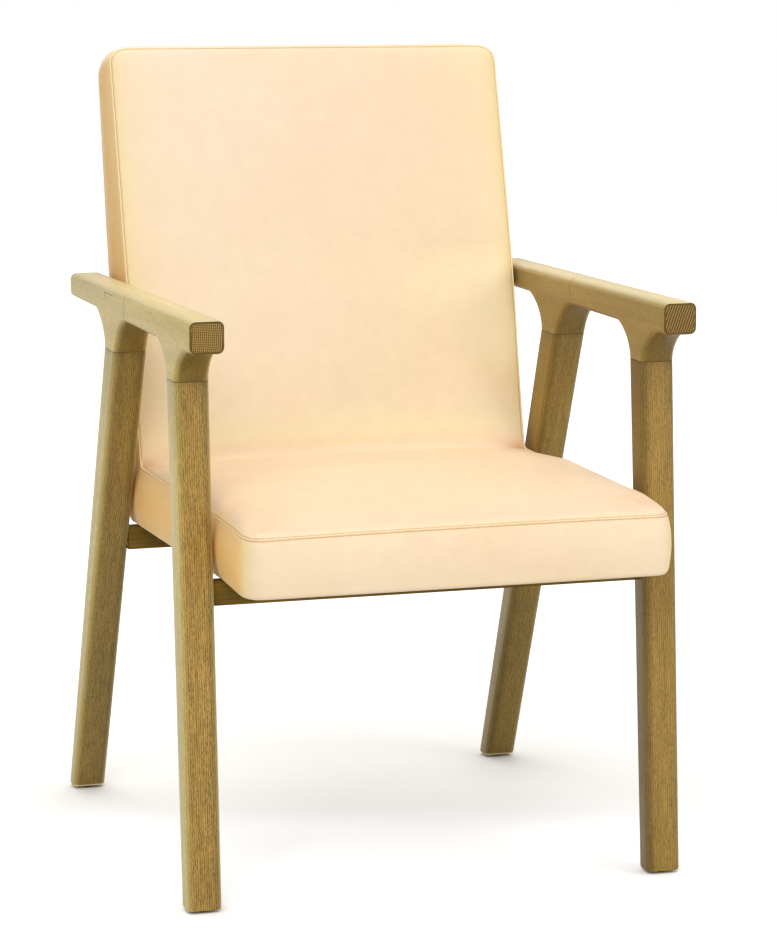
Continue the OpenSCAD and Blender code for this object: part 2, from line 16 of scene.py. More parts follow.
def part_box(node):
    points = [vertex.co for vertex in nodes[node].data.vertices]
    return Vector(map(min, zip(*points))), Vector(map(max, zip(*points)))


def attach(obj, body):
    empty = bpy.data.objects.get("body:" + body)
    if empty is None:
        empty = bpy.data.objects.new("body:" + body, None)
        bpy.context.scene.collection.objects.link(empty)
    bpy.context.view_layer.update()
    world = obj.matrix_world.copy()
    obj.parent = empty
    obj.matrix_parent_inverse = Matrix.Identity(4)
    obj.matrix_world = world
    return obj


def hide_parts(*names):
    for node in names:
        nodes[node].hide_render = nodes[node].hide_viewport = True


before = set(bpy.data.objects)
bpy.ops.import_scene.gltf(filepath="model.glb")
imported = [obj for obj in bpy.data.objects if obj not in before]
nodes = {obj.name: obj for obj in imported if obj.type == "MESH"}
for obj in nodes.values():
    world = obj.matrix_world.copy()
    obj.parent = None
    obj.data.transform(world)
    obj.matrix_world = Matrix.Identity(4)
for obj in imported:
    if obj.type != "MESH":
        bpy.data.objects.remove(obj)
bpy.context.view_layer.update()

print("packed nodes:", len(nodes))

# %% [markdown]
# ## Sizes
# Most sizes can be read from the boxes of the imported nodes, so the pieces always fit them. The few
# that a box can't show, such as the depth of a tapered foot, are named here with the same values as
# in the construction.


# %% Sizes of the side frames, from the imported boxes
def span(node, axis):
    low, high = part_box(node)
    return low[axis], high[axis]


ARM_FRONT_Y, ARM_SEAM_Y = span("arm_front_left", 1)
ARM_REAR_Y = span("arm_rear_left", 1)[1]
FRONT_SEAM_Z, ARM_FRONT_Z = span("arm_front_left", 2)
REAR_SEAM_Z = span("arm_rear_left", 2)[0]
GLIDE_H = span("leg_front_left", 2)[0]
OUTER_X, INNER_X = (-x for x in span("leg_front_left", 0))
WOOD_T = OUTER_X - INNER_X
ARM_REAR_Z = 0.674
ARM_FRONT_H, ARM_REAR_H = 0.0375, 0.0295
FRONT_TOP_Y, FRONT_FOOT_Y, FRONT_TOP_D, FRONT_FOOT_D = -0.212, -0.2585, 0.043, 0.032
REAR_TOP_Y, REAR_FOOT_Y, REAR_TOP_D, REAR_FOOT_D = 0.0925, 0.339, 0.056, 0.031
print("side frames:", round(OUTER_X * 2, 3), "m wide over the armrests, wood", round(WOOD_T, 3), "m thick")


# %% Lines of the side frames in side view
def between(a, b, t):
    return a + (b - a) * t


def arm_top(y):
    return between(ARM_FRONT_Z, ARM_REAR_Z, (y - ARM_FRONT_Y) / (ARM_REAR_Y - ARM_FRONT_Y))


def arm_low(y):
    share = (y - ARM_FRONT_Y) / (ARM_REAR_Y - ARM_FRONT_Y)
    return arm_top(y) - between(ARM_FRONT_H, ARM_REAR_H, share)


def leg_edges(foot_y, foot_d, top_y, top_d):
    return (foot_y - foot_d / 2, top_y - top_d / 2), (foot_y + foot_d / 2, top_y + top_d / 2)


def meeting(y_low, y_high, z_high):
    """Where a leg's edge, drawn on upwards, comes to the underside of the armrest."""
    y = y_high + (y_high - y_low) * (arm_low(y_high) - z_high) / (z_high - GLIDE_H)
    return y, arm_low(y)


print("an armrest falls by", round((ARM_FRONT_Z - ARM_REAR_Z) * 1000), "mm from front to rear")

# %% Coves between the legs and the armrests
COVE_STEPS = 12


def cove(a, c, b, share):
    """A conic arc from a to b that bends towards the corner c, the more so the larger its share."""
    points = []
    for i in range(COVE_STEPS + 1):
        t = i / COVE_STEPS
        near, mid, far = (1 - t) ** 2, 2 * share * t * (1 - t), t * t
        points.append(tuple((p * near + q * mid + r * far) / (near + mid + far) for p, q, r in zip(a, c, b)))
    return points


def coves(foot_y, foot_d, top_y, top_d, seam_z, reach_front, reach_rear, share_front, share_rear):
    """The two coves of a leg. reach_front of None means that the front one ends at the armrest's seam."""
    (low_a, high_a), (low_b, high_b) = leg_edges(foot_y, foot_d, top_y, top_d)
    corner_a, corner_b = meeting(low_a, high_a, seam_z), meeting(low_b, high_b, seam_z)
    front = ARM_SEAM_Y if reach_front is None else corner_a[0] - reach_front
    rear = corner_b[0] + reach_rear
    return (cove((high_a, seam_z), corner_a, (front, arm_low(front)), share_front),
            cove((rear, arm_low(rear)), corner_b, (high_b, seam_z), share_rear))


def leg_outline(foot_y, foot_d, top_y, top_d, seam_z):
    (low_a, high_a), (low_b, high_b) = leg_edges(foot_y, foot_d, top_y, top_d)
    return [(low_a, GLIDE_H), (low_b, GLIDE_H), (high_b, seam_z), (high_a, seam_z)]


print("a cove has", COVE_STEPS, "facets")

# %% Outlines of the boards
FRONT_LEG = (FRONT_FOOT_Y, FRONT_FOOT_D, FRONT_TOP_Y, FRONT_TOP_D, FRONT_SEAM_Z)
REAR_LEG = (REAR_FOOT_Y, REAR_FOOT_D, REAR_TOP_Y, REAR_TOP_D, REAR_SEAM_Z)
front_lead, front_trail = coves(*FRONT_LEG, 0.052, 0.047, 0.45, 0.5)
rear_lead, rear_trail = coves(*REAR_LEG, None, 0.070, 0.7, 0.35)
ARM_FRONT_OUTLINE = [(ARM_FRONT_Y, arm_low(ARM_FRONT_Y)), (ARM_FRONT_Y, ARM_FRONT_Z),
                     (ARM_SEAM_Y, arm_top(ARM_SEAM_Y)), (ARM_SEAM_Y, arm_low(ARM_SEAM_Y)),
                     *front_trail, *front_lead]
ARM_REAR_OUTLINE = [(ARM_SEAM_Y, arm_low(ARM_SEAM_Y)), (ARM_SEAM_Y, arm_top(ARM_SEAM_Y)),
                    (ARM_REAR_Y, arm_top(ARM_REAR_Y)), (ARM_REAR_Y, arm_low(ARM_REAR_Y)),
                    *rear_trail, *rear_lead[:-1]]
print("outline of an armrest's front piece:", len(ARM_FRONT_OUTLINE), "points")

# %% [markdown]
# ## Materials
# Each finish is a small node graph on object coordinates, so that it stays on the piece in every
# view. A node graph in code gets long, so a few helpers come first: one for each kind of node, and
# one that links or fills a socket, whichever its value asks for.


# %% Add a node and wire its sockets
def new_material(name):
    material = bpy.data.materials.new(name)
    material.use_nodes = True
    return material, material.node_tree, material.node_tree.nodes["Principled BSDF"]


def feed(tree, socket, value):
    """Links a socket to another one or gives it a value. A colour of three shares gets full opacity."""
    if isinstance(value, bpy.types.NodeSocket):
        tree.links.new(value, socket)
    elif isinstance(value, tuple) and len(value) == 3 and socket.type == "RGBA":
        socket.default_value = (*value, 1)
    else:
        socket.default_value = value


def wire(tree, shader, inputs):
    for name, value in inputs.items():
        feed(tree, shader.inputs[name], value)


def node(tree, kind, **settings):
    made = tree.nodes.new(kind)
    for key, value in settings.items():
        if key in made.inputs:
            made.inputs[key].default_value = value
        else:
            setattr(made, key, value)
    return made


print("nodes can be added and wired")


# %% Coordinates and patterns
def coordinates(tree, scale=(1, 1, 1), rotation=(0, 0, 0), location=(0, 0, 0), output="Object"):
    source = tree.nodes.new("ShaderNodeTexCoord")
    mapping = node(tree, "ShaderNodeMapping", Scale=scale, Rotation=rotation, Location=location)
    tree.links.new(source.outputs[output], mapping.inputs["Vector"])
    return mapping.outputs["Vector"]


def split(tree, vector):
    """The X, Y and Z of a vector."""
    made = tree.nodes.new("ShaderNodeSeparateXYZ")
    tree.links.new(vector, made.inputs[0])
    return tuple(made.outputs)


def texture(tree, kind, vector, output=0, **settings):
    made = node(tree, kind, **settings)
    tree.links.new(vector, made.inputs["Vector"])
    return made.outputs[output]


def noise(tree, vector, scale, detail, roughness=0.5):
    return texture(tree, "ShaderNodeTexNoise", vector, Scale=scale, Detail=detail, Roughness=roughness)


def waves(tree, vector, scale, direction, distortion=0, detail=2):
    return texture(tree, "ShaderNodeTexWave", vector, output="Fac", Scale=scale, Distortion=distortion,
                   Detail=detail, bands_direction=direction)


print("coordinates, noise and waves ready")


# %% Sums and ramps
def math_node(tree, operation, a, b=0.5):
    made = node(tree, "ShaderNodeMath", operation=operation)
    feed(tree, made.inputs[0], a)
    feed(tree, made.inputs[1], b)
    return made.outputs[0]


def times(tree, a, b):
    return math_node(tree, "MULTIPLY", a, b)


def weighted_sum(tree, *terms):
    """The sum of values that each have a weight."""
    (value, weight), *others = terms
    total = times(tree, value, weight)
    for value, weight in others:
        total = math_node(tree, "ADD", total, times(tree, value, weight))
    return total


def ramp(tree, value, stops):
    """A colour by value. A single number as a stop's colour stands for a grey."""
    made = tree.nodes.new("ShaderNodeValToRGB")
    elements = made.color_ramp.elements
    while len(elements) < len(stops):
        elements.new(0.5)
    for element, (place, color) in zip(elements, stops):
        element.position = place
        element.color = (*color, 1) if isinstance(color, tuple) else (color, color, color, 1)
    tree.links.new(value, made.inputs["Fac"])
    return made.outputs["Color"]


def fade(tree, value, low, high):
    """Rises from 0 to 1 while the value goes from low to high."""
    return ramp(tree, value, [(low, 0), (high, 1)])


print("sums and ramps ready")


# %% Colours, bumps and boxes
def blend_colors(tree, amount, a, b, mode="MIX"):
    made = node(tree, "ShaderNodeMix", data_type="RGBA", blend_type=mode, clamp_factor=True)
    for socket, value in ((made.inputs[0], amount), (made.inputs[6], a), (made.inputs[7], b)):
        feed(tree, socket, value)
    return made.outputs[2]


def tint(tree, color, other, amount=1.0):
    """Multiplies a colour by another one."""
    return blend_colors(tree, amount, color, other, "MULTIPLY")


def bump(tree, height, strength, distance, normal=None):
    made = node(tree, "ShaderNodeBump", Strength=strength, Distance=distance)
    tree.links.new(height, made.inputs["Height"])
    if normal is not None:
        tree.links.new(normal, made.inputs["Normal"])
    return made.outputs["Normal"]


def inside(tree, box):
    """1 where the object's Y and Z lie inside a box (y0, y1, z0, z1), else 0."""
    x, y, z = split(tree, coordinates(tree))
    along = times(tree, math_node(tree, "GREATER_THAN", y, box[0]), math_node(tree, "LESS_THAN", y, box[1]))
    up = times(tree, math_node(tree, "GREATER_THAN", z, box[2]), math_node(tree, "LESS_THAN", z, box[3]))
    return times(tree, along, up)


def linear(r, g, b):
    """A colour as an image editor shows it, 0 to 255, as the linear value that a shader takes."""
    shares = (r / 255, g / 255, b / 255)
    return tuple(c / 12.92 if c <= 0.04045 else ((c + 0.055) / 1.055) ** 2.4 for c in shares)


def scaled(color, factor):
    return tuple(min(1, c * factor) for c in color)


print("a middle grey of 128 is", round(linear(128, 128, 128)[0], 3), "in linear light")

# %% [markdown]
# The faces to the front are darker and busier than those to the side, and the tops are palest. Part of
# this is the stain, which sinks in deeper where it meets the ends of the fibres, and part is painted
# light and shade, for the light that falls on the sides and tops. Three patterns are added up: short
# fibres, long streaks, and the slow lines of the growth rings. They are stretched along the grain,
# which follows the slope of each board. A photograph as a texture would be quicker, but it would
# slide over the coves, and nodes stay sharp at any distance.

# %% Stained beech with the grain along a tilted line
SHORT_FIBRES, LONG_FIBRES = (1, 0.12, 0.9), (1, 0.05, 0.8)
FACING_POWER = 1.5
DUSK_RUN, EDGE_RUN = 0.1, 0.04


def stained_wood(name, tilt, dark, pale, top, seed, depth, joint_z, marks):
    """tilt is the grain's angle in side view. dark, pale and top are the tones of the faces to the
    front, to the side and upwards, with painted light and shade in them. depth is how far the front's
    streaks differ. Below joint_z, the wood is painted darker as shade under the armrest, and marks are
    boxes of small dark dents."""
    material, tree, shader = new_material(name)
    turned = coordinates(tree, rotation=(-tilt, 0, 0), location=(seed, seed * 1.7, seed * 0.6))
    short = texture(tree, "ShaderNodeMapping", turned, Scale=SHORT_FIBRES)
    along = texture(tree, "ShaderNodeMapping", turned, Scale=LONG_FIBRES)
    tone = weighted_sum(tree, (noise(tree, short, 1700, 1), 0.48), (noise(tree, along, 820, 3, 0.6), 0.40),
                        (waves(tree, turned, 122, "X", 3.2, 4), 0.12))
    facing_x, facing_y, facing_z = split(tree, coordinates(tree, output="Normal"))
    sideways = math_node(tree, "POWER", math_node(tree, "ABSOLUTE", facing_x), FACING_POWER)
    upward = math_node(tree, "POWER", math_node(tree, "MAXIMUM", facing_z, 0), FACING_POWER)

    def shades(color, low, high):
        return ramp(tree, tone, [(0.38, scaled(color, low)), (0.62, scaled(color, high))])

    color = blend_colors(tree, sideways, shades(dark, 1 - depth, 1 + 0.85 * depth), shades(pale, 0.86, 1.12))
    color = blend_colors(tree, upward, color, shades(top, 0.88, 1.10))
    flecks = times(tree, fade(tree, noise(tree, turned, 700, 1), 0.62, 0.72), 0.28)
    color = blend_colors(tree, flecks, color, scaled(dark, 1.7))
    color = tint(tree, color, ramp(tree, noise(tree, along, 70, 3, 0.6), [(0.3, 0.80), (0.7, 1.10)]), 0.8)
    for box in marks:
        color = blend_colors(tree, inside(tree, box), color, scaled(dark, 0.5))
    if joint_z is not None:
        x, y, z = split(tree, coordinates(tree))
        below = math_node(tree, "DIVIDE", math_node(tree, "SUBTRACT", joint_z, z), DUSK_RUN)
        color = tint(tree, color, ramp(tree, below, [(0, 0.66), (0.08, 0.8), (1, 1)]))
        # Painted light and shade on the front faces: darker towards their inner edge, a little lighter across
        # the rest
        outwards = math_node(tree, "SUBTRACT", math_node(tree, "ABSOLUTE", x), INNER_X)
        edge = ramp(tree, math_node(tree, "DIVIDE", outwards, EDGE_RUN), [(0.12, 0.66), (0.28, 1.04)])
        forward = math_node(tree, "SUBTRACT", 1, sideways)
        color = blend_colors(tree, forward, color, tint(tree, color, edge))
    wire(tree, shader, {
        "Base Color": color, "Roughness": ramp(tree, tone, [(0.3, 0.48), (0.7, 0.36)]),
        "Normal": bump(tree, tone, 0.3, 0.0003), "Specular IOR Level": 0.22,
        "Coat Weight": 0.06, "Coat Roughness": 0.3,
    })
    return material


print("a stain for beech ready")


# %% Stain the armrests and legs of each side
def stain_pair_lit_and_shaded(part, tilt, joint_z, left, right, left_marks=()):
    """The stain of a part for each hand, from its tones to the front and the side, seed and depth. The
    side tones are painted light and shade: lit for the left frame, shaded for the right one.
    """
    pair = {}
    for hand, (front, side, seed, depth), marks in (("left", left, left_marks), ("right", right, ())):
        pair[hand] = stained_wood(part + "_beech_" + hand, tilt, linear(*front), linear(*side),
                                  ARM_TOP_TONE, seed, depth, joint_z, marks)
    return pair


FRONT_TILT = math.atan2(FRONT_SEAM_Z - GLIDE_H, FRONT_TOP_Y - FRONT_FOOT_Y)
REAR_TILT = math.atan2(REAR_SEAM_Z - GLIDE_H, REAR_TOP_Y - REAR_FOOT_Y)
ARM_TILT = math.atan2(ARM_REAR_Z - ARM_FRONT_Z, ARM_REAR_Y - ARM_FRONT_Y)
ARM_TOP_TONE = linear(220, 200, 146)
ARM_MARKS = ((0.070, 0.114, 0.6715, 0.6724), (0.109, 0.112, 0.666, 0.672))
# The side tones differ by hand as painted light and shade: pale on the lit left frame, dark on the shaded
# right one
arm_stain_lit_and_shaded = stain_pair_lit_and_shaded(
    "arm", ARM_TILT, None, ((122, 98, 38), (203, 178, 100), 0.3, 0.40),
    ((118, 94, 36), (152, 129, 70), 1.1, 0.34), ARM_MARKS)
front_leg_stain_lit_and_shaded = stain_pair_lit_and_shaded(
    "front_leg", FRONT_TILT, FRONT_SEAM_Z, ((165, 132, 65), (214, 192, 120), 2.3, 0.58),
    ((160, 128, 62), (128, 103, 47), 3.1, 0.42))
rear_leg_stain_lit_and_shaded = stain_pair_lit_and_shaded(
    "rear_leg", REAR_TILT, REAR_SEAM_Z, ((143, 117, 57), (204, 181, 105), 4.3, 0.46),
    ((142, 116, 52), (154, 128, 66), 5.1, 0.38))
print("stained beech for arms and legs")

# %% [markdown]
# The sawn ends of the armrests show growth rings, crossed by fine rays. The rails, the rims and the
# pieces that the upholstery hides get simpler finishes: planed wood, brushed steel and a plain weave
# made of two waves. The pale rims stand for worn lacquer and a painted highlight, the dark ones for
# painted shade.


# %% End grain
def end_grain(name, rings_turn, seed, light, rings_scale, rings_share):
    """rings_turn is the angle of the growth rings on the sawn end, in degrees."""
    material, tree, shader = new_material(name)
    place = coordinates(tree, rotation=(0, math.radians(rings_turn), 0), location=(seed, 0, seed * 0.4))
    rings = waves(tree, place, rings_scale, "X", 1.2, 2)
    rays = waves(tree, place, rings_scale * 1.15, "Z", 1.5, 3)
    tone = weighted_sum(tree, (rings, rings_share), (rays, 1 - rings_share))
    shades = linear(84, 60, 22), linear(122, 94, 42), linear(164, 134, 76)
    stops = [(place, scaled(shade, light)) for place, shade in zip((0.2, 0.5, 0.8), shades)]
    wire(tree, shader, {"Base Color": ramp(tree, tone, stops), "Normal": bump(tree, tone, 0.3, 0.0003),
                        "Roughness": 0.45, "Specular IOR Level": 0.2})
    return material


print("end grain ready")


# %% Planed wood, steel and woven cloth
def plain_wood(name, dark, pale, scale=(0.03, 1, 1), roughness=0.5):
    material, tree, shader = new_material(name)
    fibre = noise(tree, coordinates(tree, scale=scale), 420, 4, 0.6)
    color = ramp(tree, fibre, [(0.35, linear(*dark)), (0.65, linear(*pale))])
    wire(tree, shader, {"Base Color": color, "Normal": bump(tree, fibre, 0.2, 0.0003),
                        "Roughness": roughness, "Specular IOR Level": 0.15})
    return material


def metal(name, color, roughness):
    material, tree, shader = new_material(name)
    scratches = noise(tree, coordinates(tree, scale=(1, 1, 0.1)), 900, 3)
    shade = ramp(tree, scratches, [(0.3, scaled(color, 0.8)), (0.7, color)])
    wire(tree, shader, {"Base Color": shade, "Metallic": 1.0, "Roughness": roughness})
    return material


def woven(name, dark, pale, scale):
    material, tree, shader = new_material(name)
    place = coordinates(tree)
    tone = times(tree, waves(tree, place, scale, "X"), waves(tree, place, scale, "Y"))
    color = ramp(tree, tone, [(0.1, linear(*dark)), (0.9, linear(*pale))])
    wire(tree, shader, {"Base Color": color, "Normal": bump(tree, tone, 0.5, 0.0004), "Roughness": 0.9})
    return material


print("planed wood, steel and woven cloth ready")

# %% Finishes of the ends, the rails and the hidden pieces
end_finish = {
    "left": end_grain("end_grain_left", 86, 0.2, 1.15, 118, 0.34),
    "right": end_grain("end_grain_right", -20, 0.7, 0.9, 105, 0.8),
}
rail_finish = plain_wood("rail_beech", (88, 66, 16), (130, 102, 26))
# Pale rims: worn lacquer with a painted highlight. Dark end rims: painted shade.
rim_wear_and_highlight = plain_wood("rim_wear_and_highlight", (216, 196, 142), (240, 224, 176))
end_rim_shade = plain_wood("end_rim_shade", (88, 68, 28), (112, 88, 40))
glue_line = plain_wood("glue_line", (84, 62, 22), (104, 80, 34))
raw_wood = plain_wood("raw_hardwood", (190, 160, 110), (222, 196, 148))
glide_finish = plain_wood("dark_glide", (34, 26, 16), (58, 44, 28), scale=(1, 1, 1), roughness=0.35)
zinc = metal("zinc_steel", linear(190, 190, 194), 0.35)
dark_steel = metal("dark_steel", linear(70, 70, 74), 0.5)
belt_cloth = woven("belt_webbing", (22, 22, 24), (60, 58, 56), 400)
dust_cloth = woven("dust_cloth", (24, 23, 22), (44, 42, 40), 700)
print("finishes of", len(end_finish), "ends, rails, rims, glides, steel and belts")

# %% [markdown]
# The cover is smooth leather, or a cloth coated to look like it. Its colour isn't even, and most of
# the unevenness is painted light and shade: the light falls on a crowned back and a tilted seat, the
# borders turn away from it, and beside the armrest, which shades one side, the back is painted
# lighter. Each of these is a soft ramp over the height, the width or the facing. The grain is a fine
# cell pattern in the bump. Two attributes of the mesh, written later, paint shade into the leather in
# the grooves beside the seams, in the crease and towards the sides of the back.

# %% Leather with a fine grain
SEAM_SHADE, BACK_EDGE_SHADE = "seam_shade", "back_edge_shade"
SEAM_TONES = ((BACK_EDGE_SHADE, 0.9, linear(240, 216, 160)), (SEAM_SHADE, 0.66, linear(184, 120, 36)))
# Tints of painted light and shade: across the back's width, a lift beside the armrest, and along the seat's
# top
BACK_PAINTED_LIGHT = (
    (0.03, (1, 1.02, 0.98)), (0.12, (1, 1.02, 1.06)), (0.24, (0.99, 1.02, 1.08)), (0.5, (0.985, 0.985, 0.97)),
    (0.75, (0.985, 0.975, 0.92)), (0.9, (1, 1, 0.95)), (0.98, (1.03, 1.05, 0.98)),
)
ARM_PAINTED_LIGHT = ((0.62, 1), (0.80, (1.08, 1.09, 1.08)), (0.95, (1.12, 1.14, 1.12)))
ARM_PAINTED_LIGHT_HEIGHT = ((0.50, 0), (0.56, 1), (0.67, 1), (0.71, 0))
SEAT_DIM = ((0.60, (1, 0.94, 0.93)), (0.86, (1, 1.02, 1)))
REAR_TONE_Z = 0.6


def leather(name, front, warm, corner, low_side, side, high_side):
    """front gives the panels' tones by height, with painted light and shade in them, and warm their
    clouds; corner and the sides give the painted shade of the stretches that turn away to the left
    and right."""
    material, tree, shader = new_material(name)
    place = coordinates(tree)
    x, y, z = split(tree, place)
    facing_x, facing_y, facing_z = split(tree, coordinates(tree, output="Normal"))
    behind = math_node(tree, "GREATER_THAN", facing_y, 0.2)
    level = math_node(tree, "MAXIMUM", z, times(tree, behind, REAR_TONE_Z))
    clouds = times(tree, fade(tree, noise(tree, place, 3.4, 2), 0.38, 0.66), 0.4)
    panel = blend_colors(tree, clouds, ramp(tree, level, front), warm)
    # From 0 to 1 over half a metre: across the back, and from the seat's front to the fold
    across = times(tree, math_node(tree, "ADD", x, 0.25), 2)
    inward = times(tree, math_node(tree, "ADD", y, 0.3), 2)
    # Painted light and shade: the back is tinted across its width and lifted beside the armrest, and the
    # seat's top is tinted from front to fold
    for share, stops, value in ((fade(tree, level, 0.47, 0.55), BACK_PAINTED_LIGHT, across),
                                (ramp(tree, level, ARM_PAINTED_LIGHT_HEIGHT), ARM_PAINTED_LIGHT, across),
                                (fade(tree, facing_z, 0.80, 0.95), SEAT_DIM, inward)):
        panel = blend_colors(tree, share, panel, tint(tree, panel, ramp(tree, value, stops)))
    # Stretches that turn sideways get the painted shade of the corner and side tones
    upright = math_node(tree, "SUBTRACT", 1, fade(tree, facing_z, 0.35, 0.8))
    sideways = times(tree, math_node(tree, "ABSOLUTE", facing_x), upright)
    lit = ramp(tree, z, [(0.43, low_side), (0.50, side), (0.66, side), (0.88, high_side)])
    turned = blend_colors(tree, fade(tree, sideways, 0.89, 1.0), corner, lit)
    color = blend_colors(tree, fade(tree, sideways, 0.42, 0.84), panel, turned)
    mottle = noise(tree, place, 46, 4, 0.6)
    color = tint(tree, color, ramp(tree, mottle, [(0.34, (0.955, 0.95, 0.94)), (0.66, 1)]), 0.7)
    # Painted shade from the mesh: the grooves beside the seams, the crease, and the back's side edges
    for attribute, amount, tone in SEAM_TONES:
        mark = node(tree, "ShaderNodeAttribute", attribute_name=attribute)
        color = blend_colors(tree, times(tree, mark.outputs["Fac"], amount), color, tone)
    cells = texture(tree, "ShaderNodeTexVoronoi", place, output="Distance", Scale=760, feature="SMOOTH_F1")
    grain = bump(tree, noise(tree, place, 60, 2), 0.12, 0.0012, bump(tree, cells, 0.12, 0.0003))
    wire(tree, shader, {"Base Color": color, "Normal": grain, "Specular IOR Level": 0.08,
                        "Roughness": ramp(tree, mottle, [(0.3, 0.51), (0.7, 0.42)])})
    return material


print("leather with a fine grain ready")

# %% Tones of the cover and of its welt
# The cream of the panels, with painted light and shade over the height of the seat and back
PANEL_TONES_AND_LIGHT = (
    (0.445, linear(251, 228, 193)), (0.459, linear(248, 221, 188)), (0.480, linear(248, 233, 193)),
    (0.52, linear(247, 228, 196)), (0.60, linear(248, 228, 196)),
    (0.72, linear(247, 225, 194)), (0.93, linear(248, 223, 197)),
)
WELT_TONES = ((0.455, linear(253, 228, 188)), (0.93, linear(253, 228, 190)))
# The welt's sides that turn away get one tone of painted shade
WELT_SIDE = linear(250, 214, 150)
cover_leather = leather("cover_leather", PANEL_TONES_AND_LIGHT, linear(247, 216, 172), linear(250, 224, 172),
                        linear(254, 206, 130), linear(236, 190, 118), linear(242, 202, 136))
welt_leather = leather("welt_leather", WELT_TONES, linear(250, 222, 174), linear(252, 226, 170),
                       WELT_SIDE, WELT_SIDE, WELT_SIDE)
print("cover and welt toned at", len(PANEL_TONES_AND_LIGHT), "and", len(WELT_TONES), "heights")

# %% [markdown]
# ## The side frames
# A maker saws each board from a plank and rounds its long edges with a cutter before glueing. Here
# a board starts as a plane that is merged to one point. The point is extruded along the outline,
# the outline is filled and pulled to the board's thickness, and the long edges are bevelled. The
# rims of the glue faces are eased by less than half a millimetre, so that neighbouring boards meet
# in a hairline and not in a groove.


# %% Choose, name and settle a piece
def clear_selection():
    if bpy.context.object is not None and bpy.context.object.mode != "OBJECT":
        bpy.ops.object.mode_set(mode="OBJECT")
    bpy.ops.object.select_all(action="DESELECT")


def name_piece(name):
    piece = bpy.context.object
    piece.name = name
    piece.data.name = name
    return piece


def choose(piece):
    clear_selection()
    piece.select_set(True)
    bpy.context.view_layer.objects.active = piece


def settle(piece):
    """Moves the piece's place into its mesh and smooths its round stretches."""
    choose(piece)
    bpy.ops.object.transform_apply(location=True, rotation=True, scale=True)
    bpy.ops.object.shade_smooth_by_angle(angle=math.radians(40))
    piece.select_set(False)


print("pieces can be chosen, named and settled")


# %% Select by place and by normal
def select_parts(piece, kind, passes):
    """In edit mode, selects the edges or faces that pass a test, and counts them."""
    bpy.ops.mesh.select_mode(type=kind)
    bpy.ops.mesh.select_all(action="DESELECT")
    mesh = bmesh.from_edit_mesh(piece.data)
    chosen = [part for part in (mesh.edges if kind == "EDGE" else mesh.faces) if passes(part)]
    for part in chosen:
        part.select = True
    bmesh.update_edit_mesh(piece.data)
    return len(chosen)


def select_edges(piece, wanted):
    """The test gets the places of an edge's two ends."""
    return select_parts(piece, "EDGE", lambda edge: wanted(edge.verts[0].co, edge.verts[1].co))


def select_faces(piece, wanted):
    """The test gets a face's middle and its normal."""
    return select_parts(piece, "FACE", lambda face: wanted(face.calc_center_median(), face.normal))


def select_group(piece, name):
    """In edit mode, selects the vertices of a group and the edges between them."""
    bpy.ops.mesh.select_mode(type="VERT")
    bpy.ops.mesh.select_all(action="DESELECT")
    piece.vertex_groups.active = piece.vertex_groups[name]
    bpy.ops.object.vertex_group_select()
    bpy.ops.mesh.select_mode(type="EDGE")


print("edges and faces can be selected by a test")


# %% Bevel, subdivide and finish
def bevel(offset, segments, profile=0.5):
    bpy.ops.mesh.bevel(offset=offset, segments=segments, profile=profile, affect="EDGES", clamp_overlap=False)


def subdivide_once(piece):
    bpy.context.view_layer.objects.active = piece
    smooth = piece.modifiers.new("smooth", "SUBSURF")
    smooth.levels = smooth.render_levels = 1
    bpy.ops.object.modifier_apply(modifier="smooth")


def finish_piece(piece, slot_name, *node_names):
    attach(piece, "root")
    if node_names:
        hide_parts(*node_names)


print("modelling helpers ready")

# %% A board from its outline
LONG_EDGE, RIM_EDGE, GLUE_EDGE = 0.0075, 0.0030, 0.0004


def board(name, outline, inner_x, outer_x, glued, rims):
    """glued and rims are tests for points on the glue faces and on the sawn ends."""
    clear_selection()
    low_x, high_x = min(inner_x, outer_x), max(inner_x, outer_x)
    bpy.ops.mesh.primitive_plane_add(size=0.01, location=(low_x, *outline[0]))
    piece = name_piece(name)
    bpy.ops.object.mode_set(mode="EDIT")
    bpy.ops.mesh.select_mode(type="VERT")
    bpy.ops.mesh.select_all(action="SELECT")
    bpy.ops.mesh.merge(type="CENTER")
    for (y0, z0), (y1, z1) in zip(outline, outline[1:]):
        bpy.ops.mesh.extrude_vertices_move(TRANSFORM_OT_translate={"value": (0, y1 - y0, z1 - z0)})
    bpy.ops.mesh.select_all(action="SELECT")
    bpy.ops.mesh.edge_face_add()
    bpy.ops.mesh.extrude_region_move(TRANSFORM_OT_translate={"value": (high_x - low_x, 0, 0)})
    bpy.ops.mesh.select_all(action="SELECT")
    bpy.ops.mesh.normals_make_consistent(inside=False)
    bpy.ops.object.mode_set(mode="OBJECT")
    bpy.ops.object.transform_apply(location=True, rotation=True, scale=True)
    bpy.ops.object.mode_set(mode="EDIT")

    def long_edge(a, b):
        return abs(a.x - b.x) < 1e-5 and not (glued(a) and glued(b)) and not (rims(a) and rims(b))

    select_edges(piece, long_edge)
    bevel(LONG_EDGE, 5)
    if select_edges(piece, lambda a, b: rims(a) and rims(b)):
        bevel(RIM_EDGE, 2, 0.6)
    select_edges(piece, lambda a, b: glued(a) and glued(b) and not (rims(a) or rims(b)))
    bevel(GLUE_EDGE, 1)
    bpy.ops.mesh.select_all(action="DESELECT")
    bpy.ops.object.mode_set(mode="OBJECT")
    settle(piece)
    return piece


print("boards can be cut, with their long edges rounded by", LONG_EDGE, "m")

# %% Tests for the glue faces and the sawn ends
ON = 1e-4


def arm_glue(seam_z):
    """The glue faces of an armrest's piece: towards the other piece, and on top of the leg."""
    return lambda point: abs(point.y - ARM_SEAM_Y) < ON or point.z < seam_z + ON


def leg_glue(seam_z):
    return lambda point: point.z > seam_z - ON


